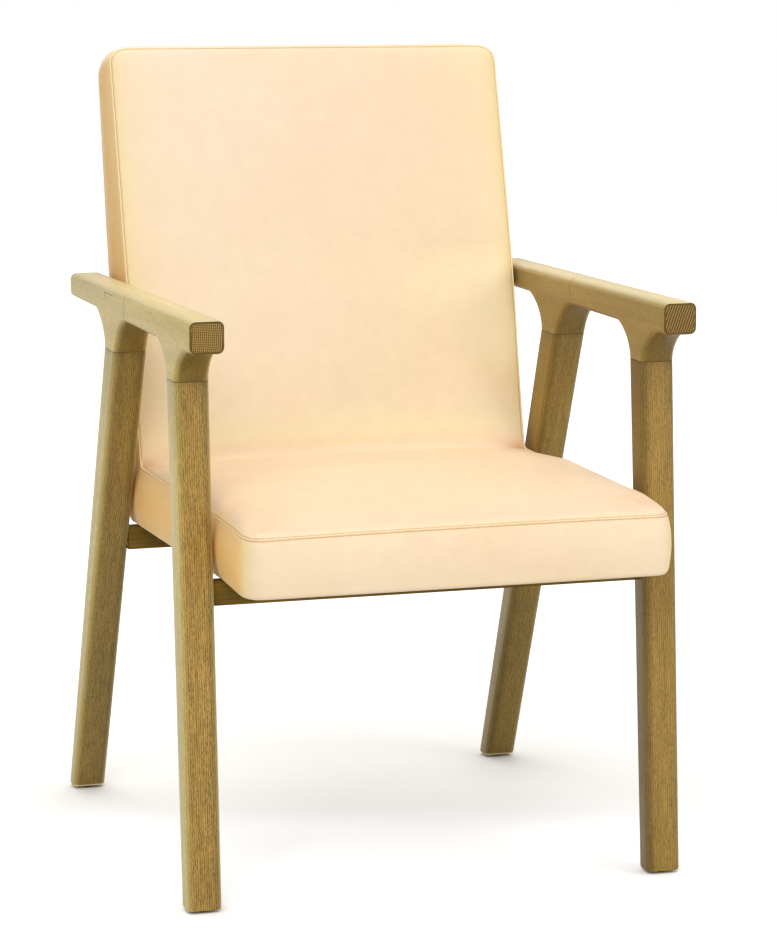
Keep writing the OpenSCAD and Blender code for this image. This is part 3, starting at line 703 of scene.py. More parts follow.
def on_end(axis, place, way, reach=ON):
    """Tests whether a point lies on a board's sawn end, which faces along an axis, up or down it."""
    return lambda point: (point[axis] - place) * way > -reach


print("glue faces and ends can be told by place")

# %% [markdown]
# A real frame gives its joints away: a dark hairline of glue runs round each seam, and the rims of
# the feet and of the sawn ends are pale, partly from worn lacquer and partly as a painted highlight
# where the eased edges catch the light. The slanted rim of each armrest's front end is dark, as
# painted shade. The bevels have left narrow faces at just these places, so they get materials of
# their own instead of lines drawn in a texture.

# %% Paint a board and give it its end grain
FINISH, END, GLUE, RIM_WEAR_AND_HIGHLIGHT, OUTLINE = range(5)
END_RIM = 0.0018
STEEP, SLANTED = 0.97, 0.3
END_NEAR = 0.001


def on_glue_rim(c, n, glued):
    """The narrow faces beside a glue face: their middle is near it, but they don't face along it."""
    beside = abs(c.y - ARM_SEAM_Y) < GLUE_EDGE and abs(n.y) < STEEP
    above = min(abs(c.z - FRONT_SEAM_Z), abs(c.z - REAR_SEAM_Z)) < GLUE_EDGE and abs(n.z) < STEEP
    return (beside or above) and glued(c + n * GLUE_EDGE)


def assign(piece, material_index):
    piece.active_material_index = material_index
    bpy.ops.object.material_slot_assign()


def paint_board(piece, finish, end_material, end, glued):
    """The board's end shows its rings, its rims are worn and carry a painted highlight, the slanted rim
    of an armrest's front end carries painted shade, and the rim of its glue faces shows the glue. The
    end is given by its axis, its place and the way that it faces."""
    axis, place, way = end
    at_end = on_end(axis, place, way, END_NEAR)
    piece.data.materials.clear()
    for material in (finish, end_material, glue_line, rim_wear_and_highlight, end_rim_shade):
        piece.data.materials.append(material)
    bpy.context.view_layer.objects.active = piece
    bpy.ops.object.mode_set(mode="EDIT")
    # The ring round the sawn end is worn and painted as a highlight; its middle shows the end grain
    select_faces(piece, lambda c, n: at_end(c) and n[axis] * way > 0.9)
    assign(piece, RIM_WEAR_AND_HIGHLIGHT)
    bpy.ops.mesh.inset(thickness=END_RIM)
    assign(piece, END)
    # The slanted rim of the armrest's front end: painted shade
    select_faces(piece, lambda c, n: c.y < ARM_FRONT_Y + RIM_EDGE and -STEEP < n.y < -SLANTED)
    assign(piece, OUTLINE)
    count = select_faces(piece, lambda c, n: on_glue_rim(c, n, glued))
    assign(piece, GLUE)
    # The feet's lower rims: worn and painted as a highlight
    select_faces(piece, lambda c, n: c.z < GLIDE_H + RIM_EDGE and -STEEP < n.z < -SLANTED)
    assign(piece, RIM_WEAR_AND_HIGHLIGHT)
    bpy.ops.mesh.select_all(action="DESELECT")
    bpy.ops.object.mode_set(mode="OBJECT")
    print(piece.name, len(piece.data.polygons), "faces,", count, "of them glue line")


print("boards can be painted")

# %% Cut and paint the boards of both side frames
FRAME_BOARDS = (
    ("arm_front", ARM_FRONT_OUTLINE, arm_glue(FRONT_SEAM_Z), (1, ARM_FRONT_Y, -1), arm_stain_lit_and_shaded, "arm_wood"),
    ("arm_rear", ARM_REAR_OUTLINE, arm_glue(REAR_SEAM_Z), (1, ARM_REAR_Y, 1), arm_stain_lit_and_shaded, "arm_wood"),
    ("leg_front", leg_outline(*FRONT_LEG), leg_glue(FRONT_SEAM_Z), (2, GLIDE_H, -1), front_leg_stain_lit_and_shaded,
     "leg_wood"),
    ("leg_rear", leg_outline(*REAR_LEG), leg_glue(REAR_SEAM_Z), (2, GLIDE_H, -1), rear_leg_stain_lit_and_shaded,
     "leg_wood"),
)
for hand, sign in (("left", -1), ("right", 1)):
    for part, outline, glued, end, stains_lit_and_shaded, slot_name in FRAME_BOARDS:
        rims = on_end(*end)
        piece = board(part + "_board_" + hand, outline, sign * INNER_X, sign * OUTER_X, glued, rims)
        paint_board(piece, stains_lit_and_shaded[hand], end_finish[hand], end, glued)
        finish_piece(piece, slot_name, part + "_" + hand)


# %% [markdown]
# ## Rails and glides
# The two cross rails are plain planed strips, so a cube is drawn out to the rail's size, its top is
# moved onto the slope of the seat and its long edges are eased. The glides are round discs whose
# lower rim is eased, so that the chair can be pushed along.

# %% Cross rails
RAIL_EDGE, GLIDE_EDGE = 0.002, 0.001
REST_FRONT_Y, REST_REAR_Y = sum(span("rail_front", 1)) / 2, sum(span("rail_rear", 1)) / 2
REST_FRONT_Z, REST_REAR_Z = 0.3785, 0.370


def rest_z(y):
    return between(REST_FRONT_Z, REST_REAR_Z, (y - REST_FRONT_Y) / (REST_REAR_Y - REST_FRONT_Y))


def rail(node_name):
    low, high = (Vector(corner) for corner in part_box(node_name))
    clear_selection()
    bpy.ops.mesh.primitive_cube_add(size=1, location=(low + high) / 2)
    piece = name_piece(node_name + "_strip")
    bpy.ops.object.mode_set(mode="EDIT")
    bpy.ops.transform.resize(value=high - low)
    bpy.ops.object.mode_set(mode="OBJECT")
    bpy.ops.object.transform_apply(location=True, rotation=True, scale=True)
    for vertex in piece.data.vertices:
        if vertex.co.z > (low.z + high.z) / 2:
            vertex.co.z = rest_z(vertex.co.y)
    bpy.ops.object.mode_set(mode="EDIT")
    select_edges(piece, lambda a, b: abs(a.x - b.x) > 0.1)
    bevel(RAIL_EDGE, 3)
    bpy.ops.object.mode_set(mode="OBJECT")
    settle(piece)
    piece.data.materials.append(rail_finish)
    finish_piece(piece, "rail_wood", node_name)
    print(piece.name, "from", round(low.x, 3), "to", round(high.x, 3))


for node_name in ("rail_front", "rail_rear"):
    rail(node_name)


# %% Nail-on glides
def glide(node_name):
    low, high = (Vector(corner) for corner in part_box(node_name))
    place = ((low.x + high.x) / 2, (low.y + high.y) / 2, GLIDE_H / 2)
    clear_selection()
    bpy.ops.mesh.primitive_cylinder_add(
        vertices=48, radius=(high.x - low.x) / 2, depth=GLIDE_H, location=place)
    piece = name_piece(node_name + "_disc")
    bpy.ops.object.mode_set(mode="EDIT")
    select_edges(piece, lambda a, b: a.z < 0 and b.z < 0)
    bevel(GLIDE_EDGE, 3)
    bpy.ops.object.mode_set(mode="OBJECT")
    settle(piece)
    piece.data.materials.append(glide_finish)
    finish_piece(piece, "glide", node_name)


for place in ("front", "rear"):
    for hand in ("left", "right"):
        glide("glide_" + place + "_" + hand)
print("four glides")

# %% [markdown]
# ## The upholstery
# One cover runs over the seat, turns up in a soft fold and runs over the back. A boxed strip goes
# all round it, and both meet in a seam with a thin welt. The form starts as a cube that is drawn
# out, extruded to the rear, and extruded up for the back. Its edges are cut into small cells, each
# vertex is moved onto the slanted and rounded lines of the real chair, and cloth under pressure
# then fills the panels between the held seams.

# %% Lines of the seat and back in side view
SEAT_Z = 0.449
BACK_TOP_Z = span("back_cushion", 2)[1]
FOLD_Y, ROOT_Y, TAIL_Y = 0.147, 0.223, 0.194
BEND_Y, BEND_Z = 0.311, 0.671
SEAT_FRONT_Y = -0.356
BACK_TOP_D, BACK_REAR_Y = 0.070, 0.3629
REAR_PANEL_T = 0.010
HALF_W = 0.251
print("back to", round(BACK_TOP_Z, 3), "m high")


def rear_line(z):
    if z < SEAT_Z:
        return between(TAIL_Y, ROOT_Y, (z - rest_z(TAIL_Y)) / (SEAT_Z - rest_z(TAIL_Y)))
    if z < BEND_Z:
        return between(ROOT_Y, BEND_Y, (z - SEAT_Z) / (BEND_Z - SEAT_Z))
    return between(BEND_Y, BACK_REAR_Y, (z - BEND_Z) / (BACK_TOP_Z - BEND_Z))


def front_line(z):
    return between(FOLD_Y, BACK_REAR_Y - BACK_TOP_D, (z - SEAT_Z) / (BACK_TOP_Z - SEAT_Z))


# %% Draw out the blocks of the seat and back
CELL = 0.0084
SEAT_LOW_Z = 0.380


def cut_edges(piece, axis, low, high):
    """Cuts the edges that run along an axis between two places into cells of about CELL."""
    def wanted(a, b):
        ends = sorted((a[axis], b[axis]))
        return abs(ends[0] - low) < 1e-5 and abs(ends[1] - high) < 1e-5

    select_edges(piece, wanted)
    cuts = round((high - low) / CELL) - 1
    bpy.ops.mesh.subdivide(number_cuts=cuts, quadcorner="INNERVERT")
    return cuts + 1


clear_selection()
bpy.ops.mesh.primitive_cube_add(size=1)
cover = name_piece("leather_cover")
bpy.ops.object.mode_set(mode="EDIT")
bpy.ops.transform.resize(value=(2 * HALF_W, FOLD_Y - SEAT_FRONT_Y, SEAT_Z - SEAT_LOW_Z))
bpy.ops.transform.translate(value=(0, (FOLD_Y + SEAT_FRONT_Y) / 2, (SEAT_Z + SEAT_LOW_Z) / 2))
select_faces(cover, lambda c, n: n.y > 0.9)
bpy.ops.mesh.extrude_region_move(TRANSFORM_OT_translate={"value": (0, ROOT_Y - FOLD_Y, 0)})
select_faces(cover, lambda c, n: n.z > 0.9 and c.y > FOLD_Y)
bpy.ops.mesh.extrude_region_move(TRANSFORM_OT_translate={"value": (0, 0, BACK_TOP_Z - SEAT_Z)})
cells = [
    cut_edges(cover, 0, -HALF_W, HALF_W),
    cut_edges(cover, 1, SEAT_FRONT_Y, FOLD_Y),
    cut_edges(cover, 1, FOLD_Y, ROOT_Y),
    cut_edges(cover, 2, SEAT_LOW_Z, SEAT_Z),
    cut_edges(cover, 2, SEAT_Z, BACK_TOP_Z),
]
bpy.ops.object.mode_set(mode="OBJECT")
print("cells across, along, under the back, up the seat and up the back:", cells, len(cover.data.polygons))

# %% [markdown]
# While the block is still square, a plain test tells which vertices lie on a seam, on the boxing or
# on the hem. They are kept as vertex groups, because the same tests would fail on the curved form.

# %% Name the stretches of the cover while it is still square
NEAR = 1e-5


def on_panel(co):
    flat = abs(co.z - SEAT_Z) < NEAR and co.y < FOLD_Y + NEAR
    upright = abs(co.y - FOLD_Y) < NEAR and co.z > SEAT_Z - NEAR
    return flat or upright


def on_boxing(co):
    return abs(co.x) > HALF_W - NEAR or co.y < SEAT_FRONT_Y + NEAR or co.z > BACK_TOP_Z - NEAR


def on_base(co):
    return co.z < SEAT_LOW_Z + NEAR


def on_rear(co):
    return co.y > ROOT_Y - NEAR


STRETCHES = {
    "seam": lambda co: on_panel(co) and on_boxing(co),
    "hem": lambda co: on_base(co) and on_boxing(co),
    "rear_edge": lambda co: on_rear(co) and on_boxing(co),
    "held": lambda co: on_base(co) or on_rear(co) or (on_panel(co) and on_boxing(co)),
    "seat_top": lambda co: abs(co.z - SEAT_Z) < NEAR and co.y < FOLD_Y + NEAR,
    "back_front": lambda co: abs(co.y - FOLD_Y) < NEAR and co.z > SEAT_Z + NEAR,
    "boxing": on_boxing,
}
stretch = {}
for name, wanted in STRETCHES.items():
    stretch[name] = [v.index for v in cover.data.vertices if wanted(v.co)]
    cover.vertex_groups.new(name=name).add(stretch[name], 1.0, "REPLACE")
    print(name, len(stretch[name]), "vertices")


# %% [markdown]
# A hand-made cushion is never a clean block. The panels stand higher than their seams, the strips
# between them bulge, the corners are round, and this cover sits a little unevenly on its foam: the
# back leans out at its upper right, and its top edge slopes. Each of these is one small term in the
# place of a vertex, so it can be changed alone.

# %% Soft steps, swells and shoulders
BULGE_POWER, PUFF_R = 0.6, 0.011


def smooth_step(t):
    t = min(1, max(0, t))
    return t * t * (3 - 2 * t)


def swell(share):
    """The bulge of a boxed strip, from 0 at one edge to 1 at the other."""
    return math.sin(math.pi * min(1, max(0, share))) ** BULGE_POWER


def shoulder(distance):
    """Rises from 0 at a seam to 1 inside it, along a quarter of a circle."""
    return math.sqrt(1 - (1 - min(1, max(0, distance) / PUFF_R)) ** 2)


print("a strip swells to", swell(0.5), "halfway and", round(swell(0.1), 2), "near its edge")

# %% Round corners
DRAW_SHARE, DRAW_REACH = 0.42, 0.038


def draw_near(s):
    """Brings the grid lines near an edge closer together, with s from the edge inwards."""
    return s * (1 - DRAW_SHARE * math.exp(-(s / DRAW_REACH) ** 2))


def round_corner(u, v, radii):
    """Maps a square corner, with u and v from its two edges inwards, onto a quarter of an ellipse."""
    p, q = 1 - u / radii[0], 1 - v / radii[1]
    if p <= 0 or q <= 0:
        return u, v
    reach, angle = max(p, q), math.atan2(q, p)
    return radii[0] * (1 - reach * math.cos(angle)), radii[1] * (1 - reach * math.sin(angle))


def outward(u, v, radii):
    """The way out of the round corner, as shares along its two edges' normals."""
    p, q = max(0, 1 - u / radii[0]) / radii[0], max(0, 1 - v / radii[1]) / radii[1]
    length = math.hypot(p, q) or 1
    return p / length, q / length


print("a grid line 10 mm from an edge is drawn to", round(draw_near(0.010) * 1000, 1), "mm")

# %% Fold between seat and back
FOLD_R_MIDDLE, FOLD_R_SIDE, FOLD_FADE = 0.030, 0.008, 0.070


def soft_fold(x, y, z):
    """Moves a point near the fold between seat and back onto an arc, wider in the middle."""
    radius = between(FOLD_R_SIDE, FOLD_R_MIDDLE, smooth_step((HALF_W - abs(x)) / FOLD_FADE))
    turn = math.atan2(BACK_TOP_Z - SEAT_Z, front_line(BACK_TOP_Z) - FOLD_Y)
    tangent = radius * math.tan(turn / 2)
    along = y - FOLD_Y if z < SEAT_Z + NEAR else math.hypot(y - FOLD_Y, z - SEAT_Z)
    if abs(along) >= tangent:
        return x, y, z
    angle = turn * (along + tangent) / (2 * tangent)
    return x, FOLD_Y - tangent + radius * math.sin(angle), SEAT_Z + radius * (1 - math.cos(angle))


print("the fold is wider in the middle by", round(FOLD_R_MIDDLE / FOLD_R_SIDE, 2), "times")

# %% Place a vertex of the back
TOP_DROP, TOP_LEAN, REAR_FALL, FALL_RUN = 0.0015, 0.0020, 0.0035, 0.4
BACK_CORNER_FRONT, BACK_CORNER_REAR = (0.024, 0.018), (0.034, 0.038)
BACK_PUFF, BACK_PUFF_START, BACK_PUFF_RUN = 0.0045, 0.03, 0.1
BACK_LEAN, LEAN_RUN = 0.0050, 0.25
BACK_BULGE, TOP_BULGE = 0.0042, 0.0005


def back_corner(share):
    """The radii of the back's top corners, from the seam at 0 to the rear edge at 1."""
    return tuple(between(a, b, share) for a, b in zip(BACK_CORNER_FRONT, BACK_CORNER_REAR))


def top_fall(x, z, share):
    """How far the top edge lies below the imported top: it leans to one side and falls to the rear."""
    return (TOP_DROP + TOP_LEAN * x / HALF_W + REAR_FALL * share) * smooth_step((z - SEAT_Z) / FALL_RUN)


def back_lean(x, z):
    """How far the right side of the back stands out, growing upwards."""
    return BACK_LEAN * max(0, x / HALF_W) * smooth_step((z - SEAT_Z) / LEAN_RUN)


def placed_on_back(co, panel, boxed):
    x, y, z = co
    side = -1 if x < 0 else 1
    lean = back_lean(x, z)
    across, down = draw_near(HALF_W - abs(x)), draw_near(BACK_TOP_Z - z)
    share = (y - FOLD_Y) / (ROOT_Y - FOLD_Y)
    corner = back_corner(share)
    u, v = round_corner(across, down, corner)
    x, z = side * (HALF_W - u), BACK_TOP_Z - v
    z -= top_fall(x, z, share)
    y = between(front_line(z), rear_line(z) - REAR_PANEL_T, share)
    if boxed and not panel:
        out_x, out_z = outward(u, v, corner)
        bulge = swell(share) * (BACK_BULGE if x < 0 else BACK_BULGE - BACK_LEAN / 3)
        return x + lean + side * bulge * out_x, y, z + TOP_BULGE * swell(share) * out_z
    if not panel:
        return x + lean, y, z
    puff = BACK_PUFF * shoulder(across) * shoulder(down)
    puff *= smooth_step((z - SEAT_Z - BACK_PUFF_START) / BACK_PUFF_RUN)
    x, y, z = soft_fold(x, y, z)
    return x + lean, y - puff, z


print("the back leans out by up to", BACK_LEAN, "m and its top falls by", 2 * TOP_LEAN, "m to one side")

# %% Place a vertex of the seat
BASE_RISE = 0.0015
FRONT_DROOP, DROOP_END_Y, DROOP_RUN = 0.0048, -0.245, 0.080
SEAT_CORNER = (0.021, 0.030)
SEAT_PUFF, FRONT_PUFF, PUFF_GROWTH, PUFF_END, PUFF_FALL = 0.0155, 0.0075, 0.08, 0.004, 0.18
FRONT_FLARE, FRONT_LIFT, FLARE_RUN = 0.0042, 0.0022, 0.10
SEAM_ARCH, SEAM_DIP, ARCH_RUN = 0.0028, 0.0025, 0.09
SIDE_BULGE = 0.0055


def placed_on_seat(co, panel, base, boxed):
    x, y, z = co
    side = -1 if x < 0 else 1
    across = draw_near(HALF_W - abs(x))
    ahead = draw_near(y - SEAT_FRONT_Y) if y < FOLD_Y else y - SEAT_FRONT_Y
    u, v = round_corner(across, ahead, SEAT_CORNER)
    x, y = side * (HALF_W - u), SEAT_FRONT_Y + v
    right = max(0, x / HALF_W) * smooth_step(1 - ahead / FLARE_RUN)
    x += FRONT_FLARE * right
    up = (z - SEAT_LOW_Z) / (SEAT_Z - SEAT_LOW_Z)
    if y > FOLD_Y:
        y = between(FOLD_Y, between(TAIL_Y, ROOT_Y, up), (y - FOLD_Y) / (ROOT_Y - FOLD_Y))
    arch = (SEAM_ARCH * (1 - (x / HALF_W) ** 2) - SEAM_DIP) * smooth_step(1 - ahead / ARCH_RUN)
    arch += FRONT_LIFT * right
    if panel:
        puff = between(FRONT_PUFF, SEAT_PUFF, smooth_step(ahead / PUFF_GROWTH))
        puff *= shoulder(across) * shoulder(ahead)
        puff *= min(1, max(0, (FOLD_Y - PUFF_END - y) / PUFF_FALL))
        x, y, z = soft_fold(x, y, SEAT_Z)
        return x, y, z + puff + arch
    droop = FRONT_DROOP * min(1, max(0, (DROOP_END_Y - y) / DROOP_RUN))
    if boxed:
        out_x, out_y = outward(u, v, SEAT_CORNER)
        x += side * SIDE_BULGE * swell(up) * out_x
        y -= SIDE_BULGE * swell(up) * out_y
    return x, y, between(rest_z(y) - droop, SEAT_Z + arch, up) + (BASE_RISE if base else 0)


print("the seat is crowned by up to", SEAT_PUFF, "m and its front seam arches by", SEAM_ARCH, "m")

# %% Move every vertex of the cover to its real place
for vertex in cover.data.vertices:
    at = vertex.co.copy()
    panel, boxed = on_panel(at), on_boxing(at)
    if at.z > SEAT_Z + NEAR:
        vertex.co = placed_on_back(at, panel, boxed)
    else:
        vertex.co = placed_on_seat(at, panel, on_base(at) and not boxed, boxed)
rest_shape = np.array([vertex.co[:] for vertex in cover.data.vertices])
print("cover shaped:", len(rest_shape), "vertices")

# %% [markdown]
# A tight cushion is a flat cover over foam that is a little too big for it. Cloth with an inner
# pressure gives the same crowned panels. The seams and the underside are held, and a cap on how far
# a point may move keeps the cover as tight as the real one.

# %% Fill the panels with cloth under pressure
CROWN = {"seat_top": 0.006, "back_front": 0.006, "boxing": 0.0012}
CLOTH_STEPS = 20


def fill_with_pressure(piece):
    bpy.context.view_layer.objects.active = piece
    cloth = piece.modifiers.new("filling", "CLOTH")
    settings = cloth.settings
    settings.quality = 6
    settings.tension_stiffness = 30
    settings.compression_stiffness = 20
    settings.bending_stiffness = 1.0
    settings.use_pressure = True
    settings.uniform_pressure_force = 4
    settings.vertex_group_mass = "held"
    settings.effector_weights.gravity = 0
    cloth.point_cache.frame_end = CLOTH_STEPS
    for step in range(1, CLOTH_STEPS + 1):
        bpy.context.scene.frame_set(step)
    bpy.ops.object.modifier_apply(modifier="filling")
    bpy.context.scene.frame_set(1)
    return np.array([vertex.co[:] for vertex in piece.data.vertices])


def cap_moves(moves, limit):
    """Scales the moves so that the longest is the limit, and flattens their middle a little."""
    length = np.linalg.norm(moves, axis=1, keepdims=True)
    share = length / length.max()
    return moves * (limit * np.tanh(2 * share) / np.tanh(2) / np.maximum(length, 1e-9))


clear_selection()
filled = fill_with_pressure(cover)
moves = filled - rest_shape
print("cloth moved the cover by at most", round(float(np.abs(moves).max()), 4), "m")
for name, limit in CROWN.items():
    moves[stretch[name]] = cap_moves(moves[stretch[name]], limit)
    print(name, "crowns by at most", limit, "m")
for vertex, place in zip(cover.data.vertices, rest_shape + moves):
    vertex.co = place


# %% [markdown]
# Where two panels are sewn, the thread pulls both down beside the piping, and the eye reads the
# narrow dark groove before the piping itself. So the seam is bevelled round, a groove is pressed into
# the panel beside it, and its depth is written to the mesh for the leather to darken as painted
# shade. The crease at each end of the fold between seat and back is pressed and given painted shade
# in the same way, and the seat's top beside it gets painted shade too.

# %% Crease at the fold
CREASE_RUN, CREASE_W, CREASE_DEPTH, CREASE_START, CREASE_SLOPE = 0.055, 0.006, 0.008, 0.006, 0.55
CREASE_WAY = Vector((0, 0.75, -0.66))
FOLD_SHADE_X, FOLD_SHADE_Y = 0.018, 0.08


def press_fold(piece):
    """Presses a crease between seat and back that fades from each side seam inwards, and writes painted
    shade for it and for the seat's top near each end of the fold.
    """
    shade = piece.data.attributes.new(SEAM_SHADE, "FLOAT", "POINT")
    for vertex in piece.data.vertices:
        x, y, z = vertex.co
        edge = HALF_W - abs(x)
        along = math.hypot(y - FOLD_Y, z - SEAT_Z)
        if edge > 0 and vertex.normal.z > 0.5 and y < FOLD_Y:
            shade.data[vertex.index].value = math.exp(-edge / FOLD_SHADE_X - (FOLD_Y - y) / FOLD_SHADE_Y)
        if 0 < edge < CREASE_RUN and along < 5 * CREASE_W and y < FOLD_Y + 0.02:
            off = (y - FOLD_Y) + (z - SEAT_Z) * CREASE_SLOPE
            share = (1 - edge / CREASE_RUN) ** 2 * smooth_step(edge / CREASE_START)
            share *= math.exp(-(off / CREASE_W) ** 2)
            vertex.co += CREASE_WAY * (CREASE_DEPTH * share)
            shade.data[vertex.index].value = max(share, shade.data[vertex.index].value)


print("a crease of", CREASE_DEPTH, "m can be pressed")

# %% Groove beside the welt
GROOVE_DEPTH, GROOVE_W, GROOVE_PLACE = 0.0005, 0.0007, 0.0016
GROOVE_FACING, GROOVE_EASE = 0.15, 0.35
EDGE_SHADE_X, EDGE_SHADE_START, EDGE_SHADE_RUN = 0.012, 0.02, 0.08
SEAT_FACING = Vector((0, 0, 1))
BACK_FACING = Vector((0, SEAT_Z - BACK_TOP_Z, front_line(BACK_TOP_Z) - FOLD_Y)).normalized()


def seam_tree(edges):
    """A search tree of points along the seam's edges."""
    places = [a.lerp(b, k / 5) for a, b in edges for k in range(5)]
    tree = KDTree(len(places))
    for index, place in enumerate(places):
        tree.insert(place, index)
    tree.balance()
    return tree


def press_seam(piece, seam_places):
    """Presses the groove into the panel's side of the seam, and writes painted shade for it and for the
    back's side edges.
    """
    shade = piece.data.attributes[SEAM_SHADE]
    near = piece.data.attributes.new(BACK_EDGE_SHADE, "FLOAT", "POINT")
    for vertex in piece.data.vertices:
        distance = seam_places.find(vertex.co)[2]
        facing = max(vertex.normal.dot(SEAT_FACING), vertex.normal.dot(BACK_FACING))
        # Painted shade towards the back's side edges
        if facing > 0.6:
            height = smooth_step((vertex.co.z - SEAT_Z - EDGE_SHADE_START) / EDGE_SHADE_RUN)
            edge = max(0, HALF_W - abs(vertex.co.x))
            near.data[vertex.index].value = height * math.exp(-edge / EDGE_SHADE_X)
        if distance < 5 * GROOVE_W and facing > GROOVE_FACING:
            depth = math.exp(-((distance - GROOVE_PLACE) / GROOVE_W) ** 2)
            depth *= smooth_step((facing - GROOVE_FACING) / GROOVE_EASE)
            shade.data[vertex.index].value = max(depth, shade.data[vertex.index].value)
            vertex.co -= vertex.normal * (GROOVE_DEPTH * depth)


print("a groove of", GROOVE_DEPTH, "m can be pressed")

# %% [markdown]
# The welt is a thin round piping that is sewn into the seam. Its path is the seam itself, so the
# seam's edges are copied, turned into a curve and given a round section. That comes before the seam
# is bevelled, while its line is still one row of edges.

# %% Copy the seam as a welt
WELT_R, WELT_SINK = 0.0011, 0.0011
SEAM_EDGE_R, HEM_R, REAR_EDGE_R = 0.0032, 0.0065, 0.002


def bevel_stretch(piece, name, offset, segments):
    bpy.context.view_layer.objects.active = piece
    bpy.ops.object.mode_set(mode="EDIT")
    select_group(piece, name)
    bevel(offset, segments)
    bpy.ops.object.mode_set(mode="OBJECT")


def seam_cord(piece, name, radius):
    """Copies the seam's edges, sinks them to the rounded seam and turns them into a thin round welt."""
    inward = {tuple(round(c, 6) for c in vertex.co): -vertex.normal for vertex in piece.data.vertices}
    choose(piece)
    bpy.ops.object.mode_set(mode="EDIT")
    select_group(piece, "seam")
    bpy.ops.mesh.duplicate()
    bpy.ops.mesh.separate(type="SELECTED")
    bpy.ops.object.mode_set(mode="OBJECT")
    cord = next(o for o in bpy.context.selected_objects if o is not piece)
    for vertex in cord.data.vertices:
        vertex.co += inward[tuple(round(c, 6) for c in vertex.co)] * WELT_SINK
    choose(cord)
    bpy.ops.object.convert(target="CURVE")
    cord = bpy.context.object
    cord.data.bevel_depth = radius
    cord.data.bevel_resolution = 3
    bpy.ops.object.convert(target="MESH")
    cord = bpy.context.object
    cord.name = cord.data.name = name
    return cord


def seam_edges(piece):
    """The ends of the seam's edges, sunk to the rounded seam."""
    seam = set(stretch["seam"])
    vertices = piece.data.vertices
    sunk = {index: vertices[index].co - vertices[index].normal * WELT_SINK for index in seam}
    ends = (edge.vertices for edge in piece.data.edges)
    return [(sunk[a], sunk[b]) for a, b in ends if a in seam and b in seam]


print("a welt of", 2 * WELT_R, "m can be sewn in")

# %% Sew the welt, then round the seams and the hem
seam_path = seam_edges(cover)
welt = seam_cord(cover, "seam_welt", WELT_R)
welt.data.materials.clear()
welt.data.materials.append(welt_leather)
finish_piece(welt, "upholstery")
settle(welt)
bevel_stretch(cover, "hem", HEM_R, 3)
bevel_stretch(cover, "rear_edge", REAR_EDGE_R, 2)
bevel_stretch(cover, "seam", SEAM_EDGE_R, 4)
print("welt", len(welt.data.polygons), "faces")

# %% Finish the cover
cover.data.materials.append(cover_leather)
finish_piece(cover, "upholstery", "seat_cushion", "back_cushion")
# The stretches are done with, and subdividing would leave weights outside 0 to 1 in their groups
cover.vertex_groups.clear()
subdivide_once(cover)
press_fold(cover)
press_seam(cover, seam_tree(seam_path))
settle(cover)
print("cover finished:", len(cover.data.polygons), "faces")

# %% [markdown]
# ## The rear of the back
# A thin padded panel closes the rear of the back. It is sewn to the boxing along both sides and the
# top, so it gets the same rounded corners and a slight crown.

# %% Rear panel
PANEL_CROWN, PANEL_EDGE_R = 0.004, 0.0035


def rear_panel():
    clear_selection()
    bpy.ops.mesh.primitive_cube_add(size=1)
    piece = name_piece("rear_panel")
    bpy.ops.object.mode_set(mode="EDIT")
    bpy.ops.transform.resize(value=(2 * HALF_W, REAR_PANEL_T, BACK_TOP_Z - SEAT_Z))
    bpy.ops.transform.translate(value=(0, -REAR_PANEL_T / 2, (BACK_TOP_Z + SEAT_Z) / 2))
    cut_edges(piece, 0, -HALF_W, HALF_W)
    cut_edges(piece, 2, SEAT_Z, BACK_TOP_Z)
    bpy.ops.mesh.select_all(action="SELECT")
    bpy.ops.mesh.normals_make_consistent(inside=False)
    bpy.ops.object.mode_set(mode="OBJECT")
    rim = []
    for vertex in piece.data.vertices:
        x, y, z = vertex.co
        if abs(x) > HALF_W - NEAR or z > BACK_TOP_Z - NEAR or z < SEAT_Z + NEAR:
            rim.append(vertex.index)
        across = 1 - (x / HALF_W) ** 4
        up = (z - SEAT_Z) / (BACK_TOP_Z - SEAT_Z)
        crown = PANEL_CROWN * across * (1 - (2 * up - 1) ** 4)
        u, v = round_corner(HALF_W - abs(x), BACK_TOP_Z - z, BACK_CORNER_REAR)
        x, z = math.copysign(HALF_W - u, x), BACK_TOP_Z - v
        x += back_lean(x, z)
        z -= top_fall(x, z, 1)
        vertex.co = (x, rear_line(z) + y + (crown if y > -REAR_PANEL_T / 2 else 0), z)
    piece.vertex_groups.new(name="rim").add(rim, 1.0, "REPLACE")
    bevel_stretch(piece, "rim", PANEL_EDGE_R, 3)
    subdivide_once(piece)
    piece.data.materials.append(cover_leather)
    finish_piece(piece, "upholstery", "outer_back")
    settle(piece)
    return piece


rear = rear_panel()
print("rear panel:", len(rear.data.polygons), "faces")

# %% [markdown]
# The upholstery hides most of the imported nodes: frames, screws, brackets and belts. Their shapes are
# right as they are, so they stay, and only get the finish that their name asks for.

# %% Materials of the nodes that stay
for name, obj in nodes.items():
    if "dowels" in name or name.startswith(("seat_frame", "back_stile", "back_frame")):
        finish = raw_wood
    elif "screw" in name or "bolt" in name:
        finish = zinc
    elif name.startswith("bracket"):
        finish = dark_steel
    elif "belt" in name:
        finish = belt_cloth
    elif name == "dust_cover":
        finish = dust_cloth
    else:
        continue
    for material_slot in obj.material_slots:
        material_slot.material = finish
print("hidden frames, fasteners and belts finished")

# %% [markdown]
# ## Camera and light
# The camera stands in front of the chair, towards the side of the left frame and above the back's
# top. Its place, turn and focal length were fitted to the lines of the side frames, because a long
# lens from afar and a short one from near give the same size but not the same convergence.

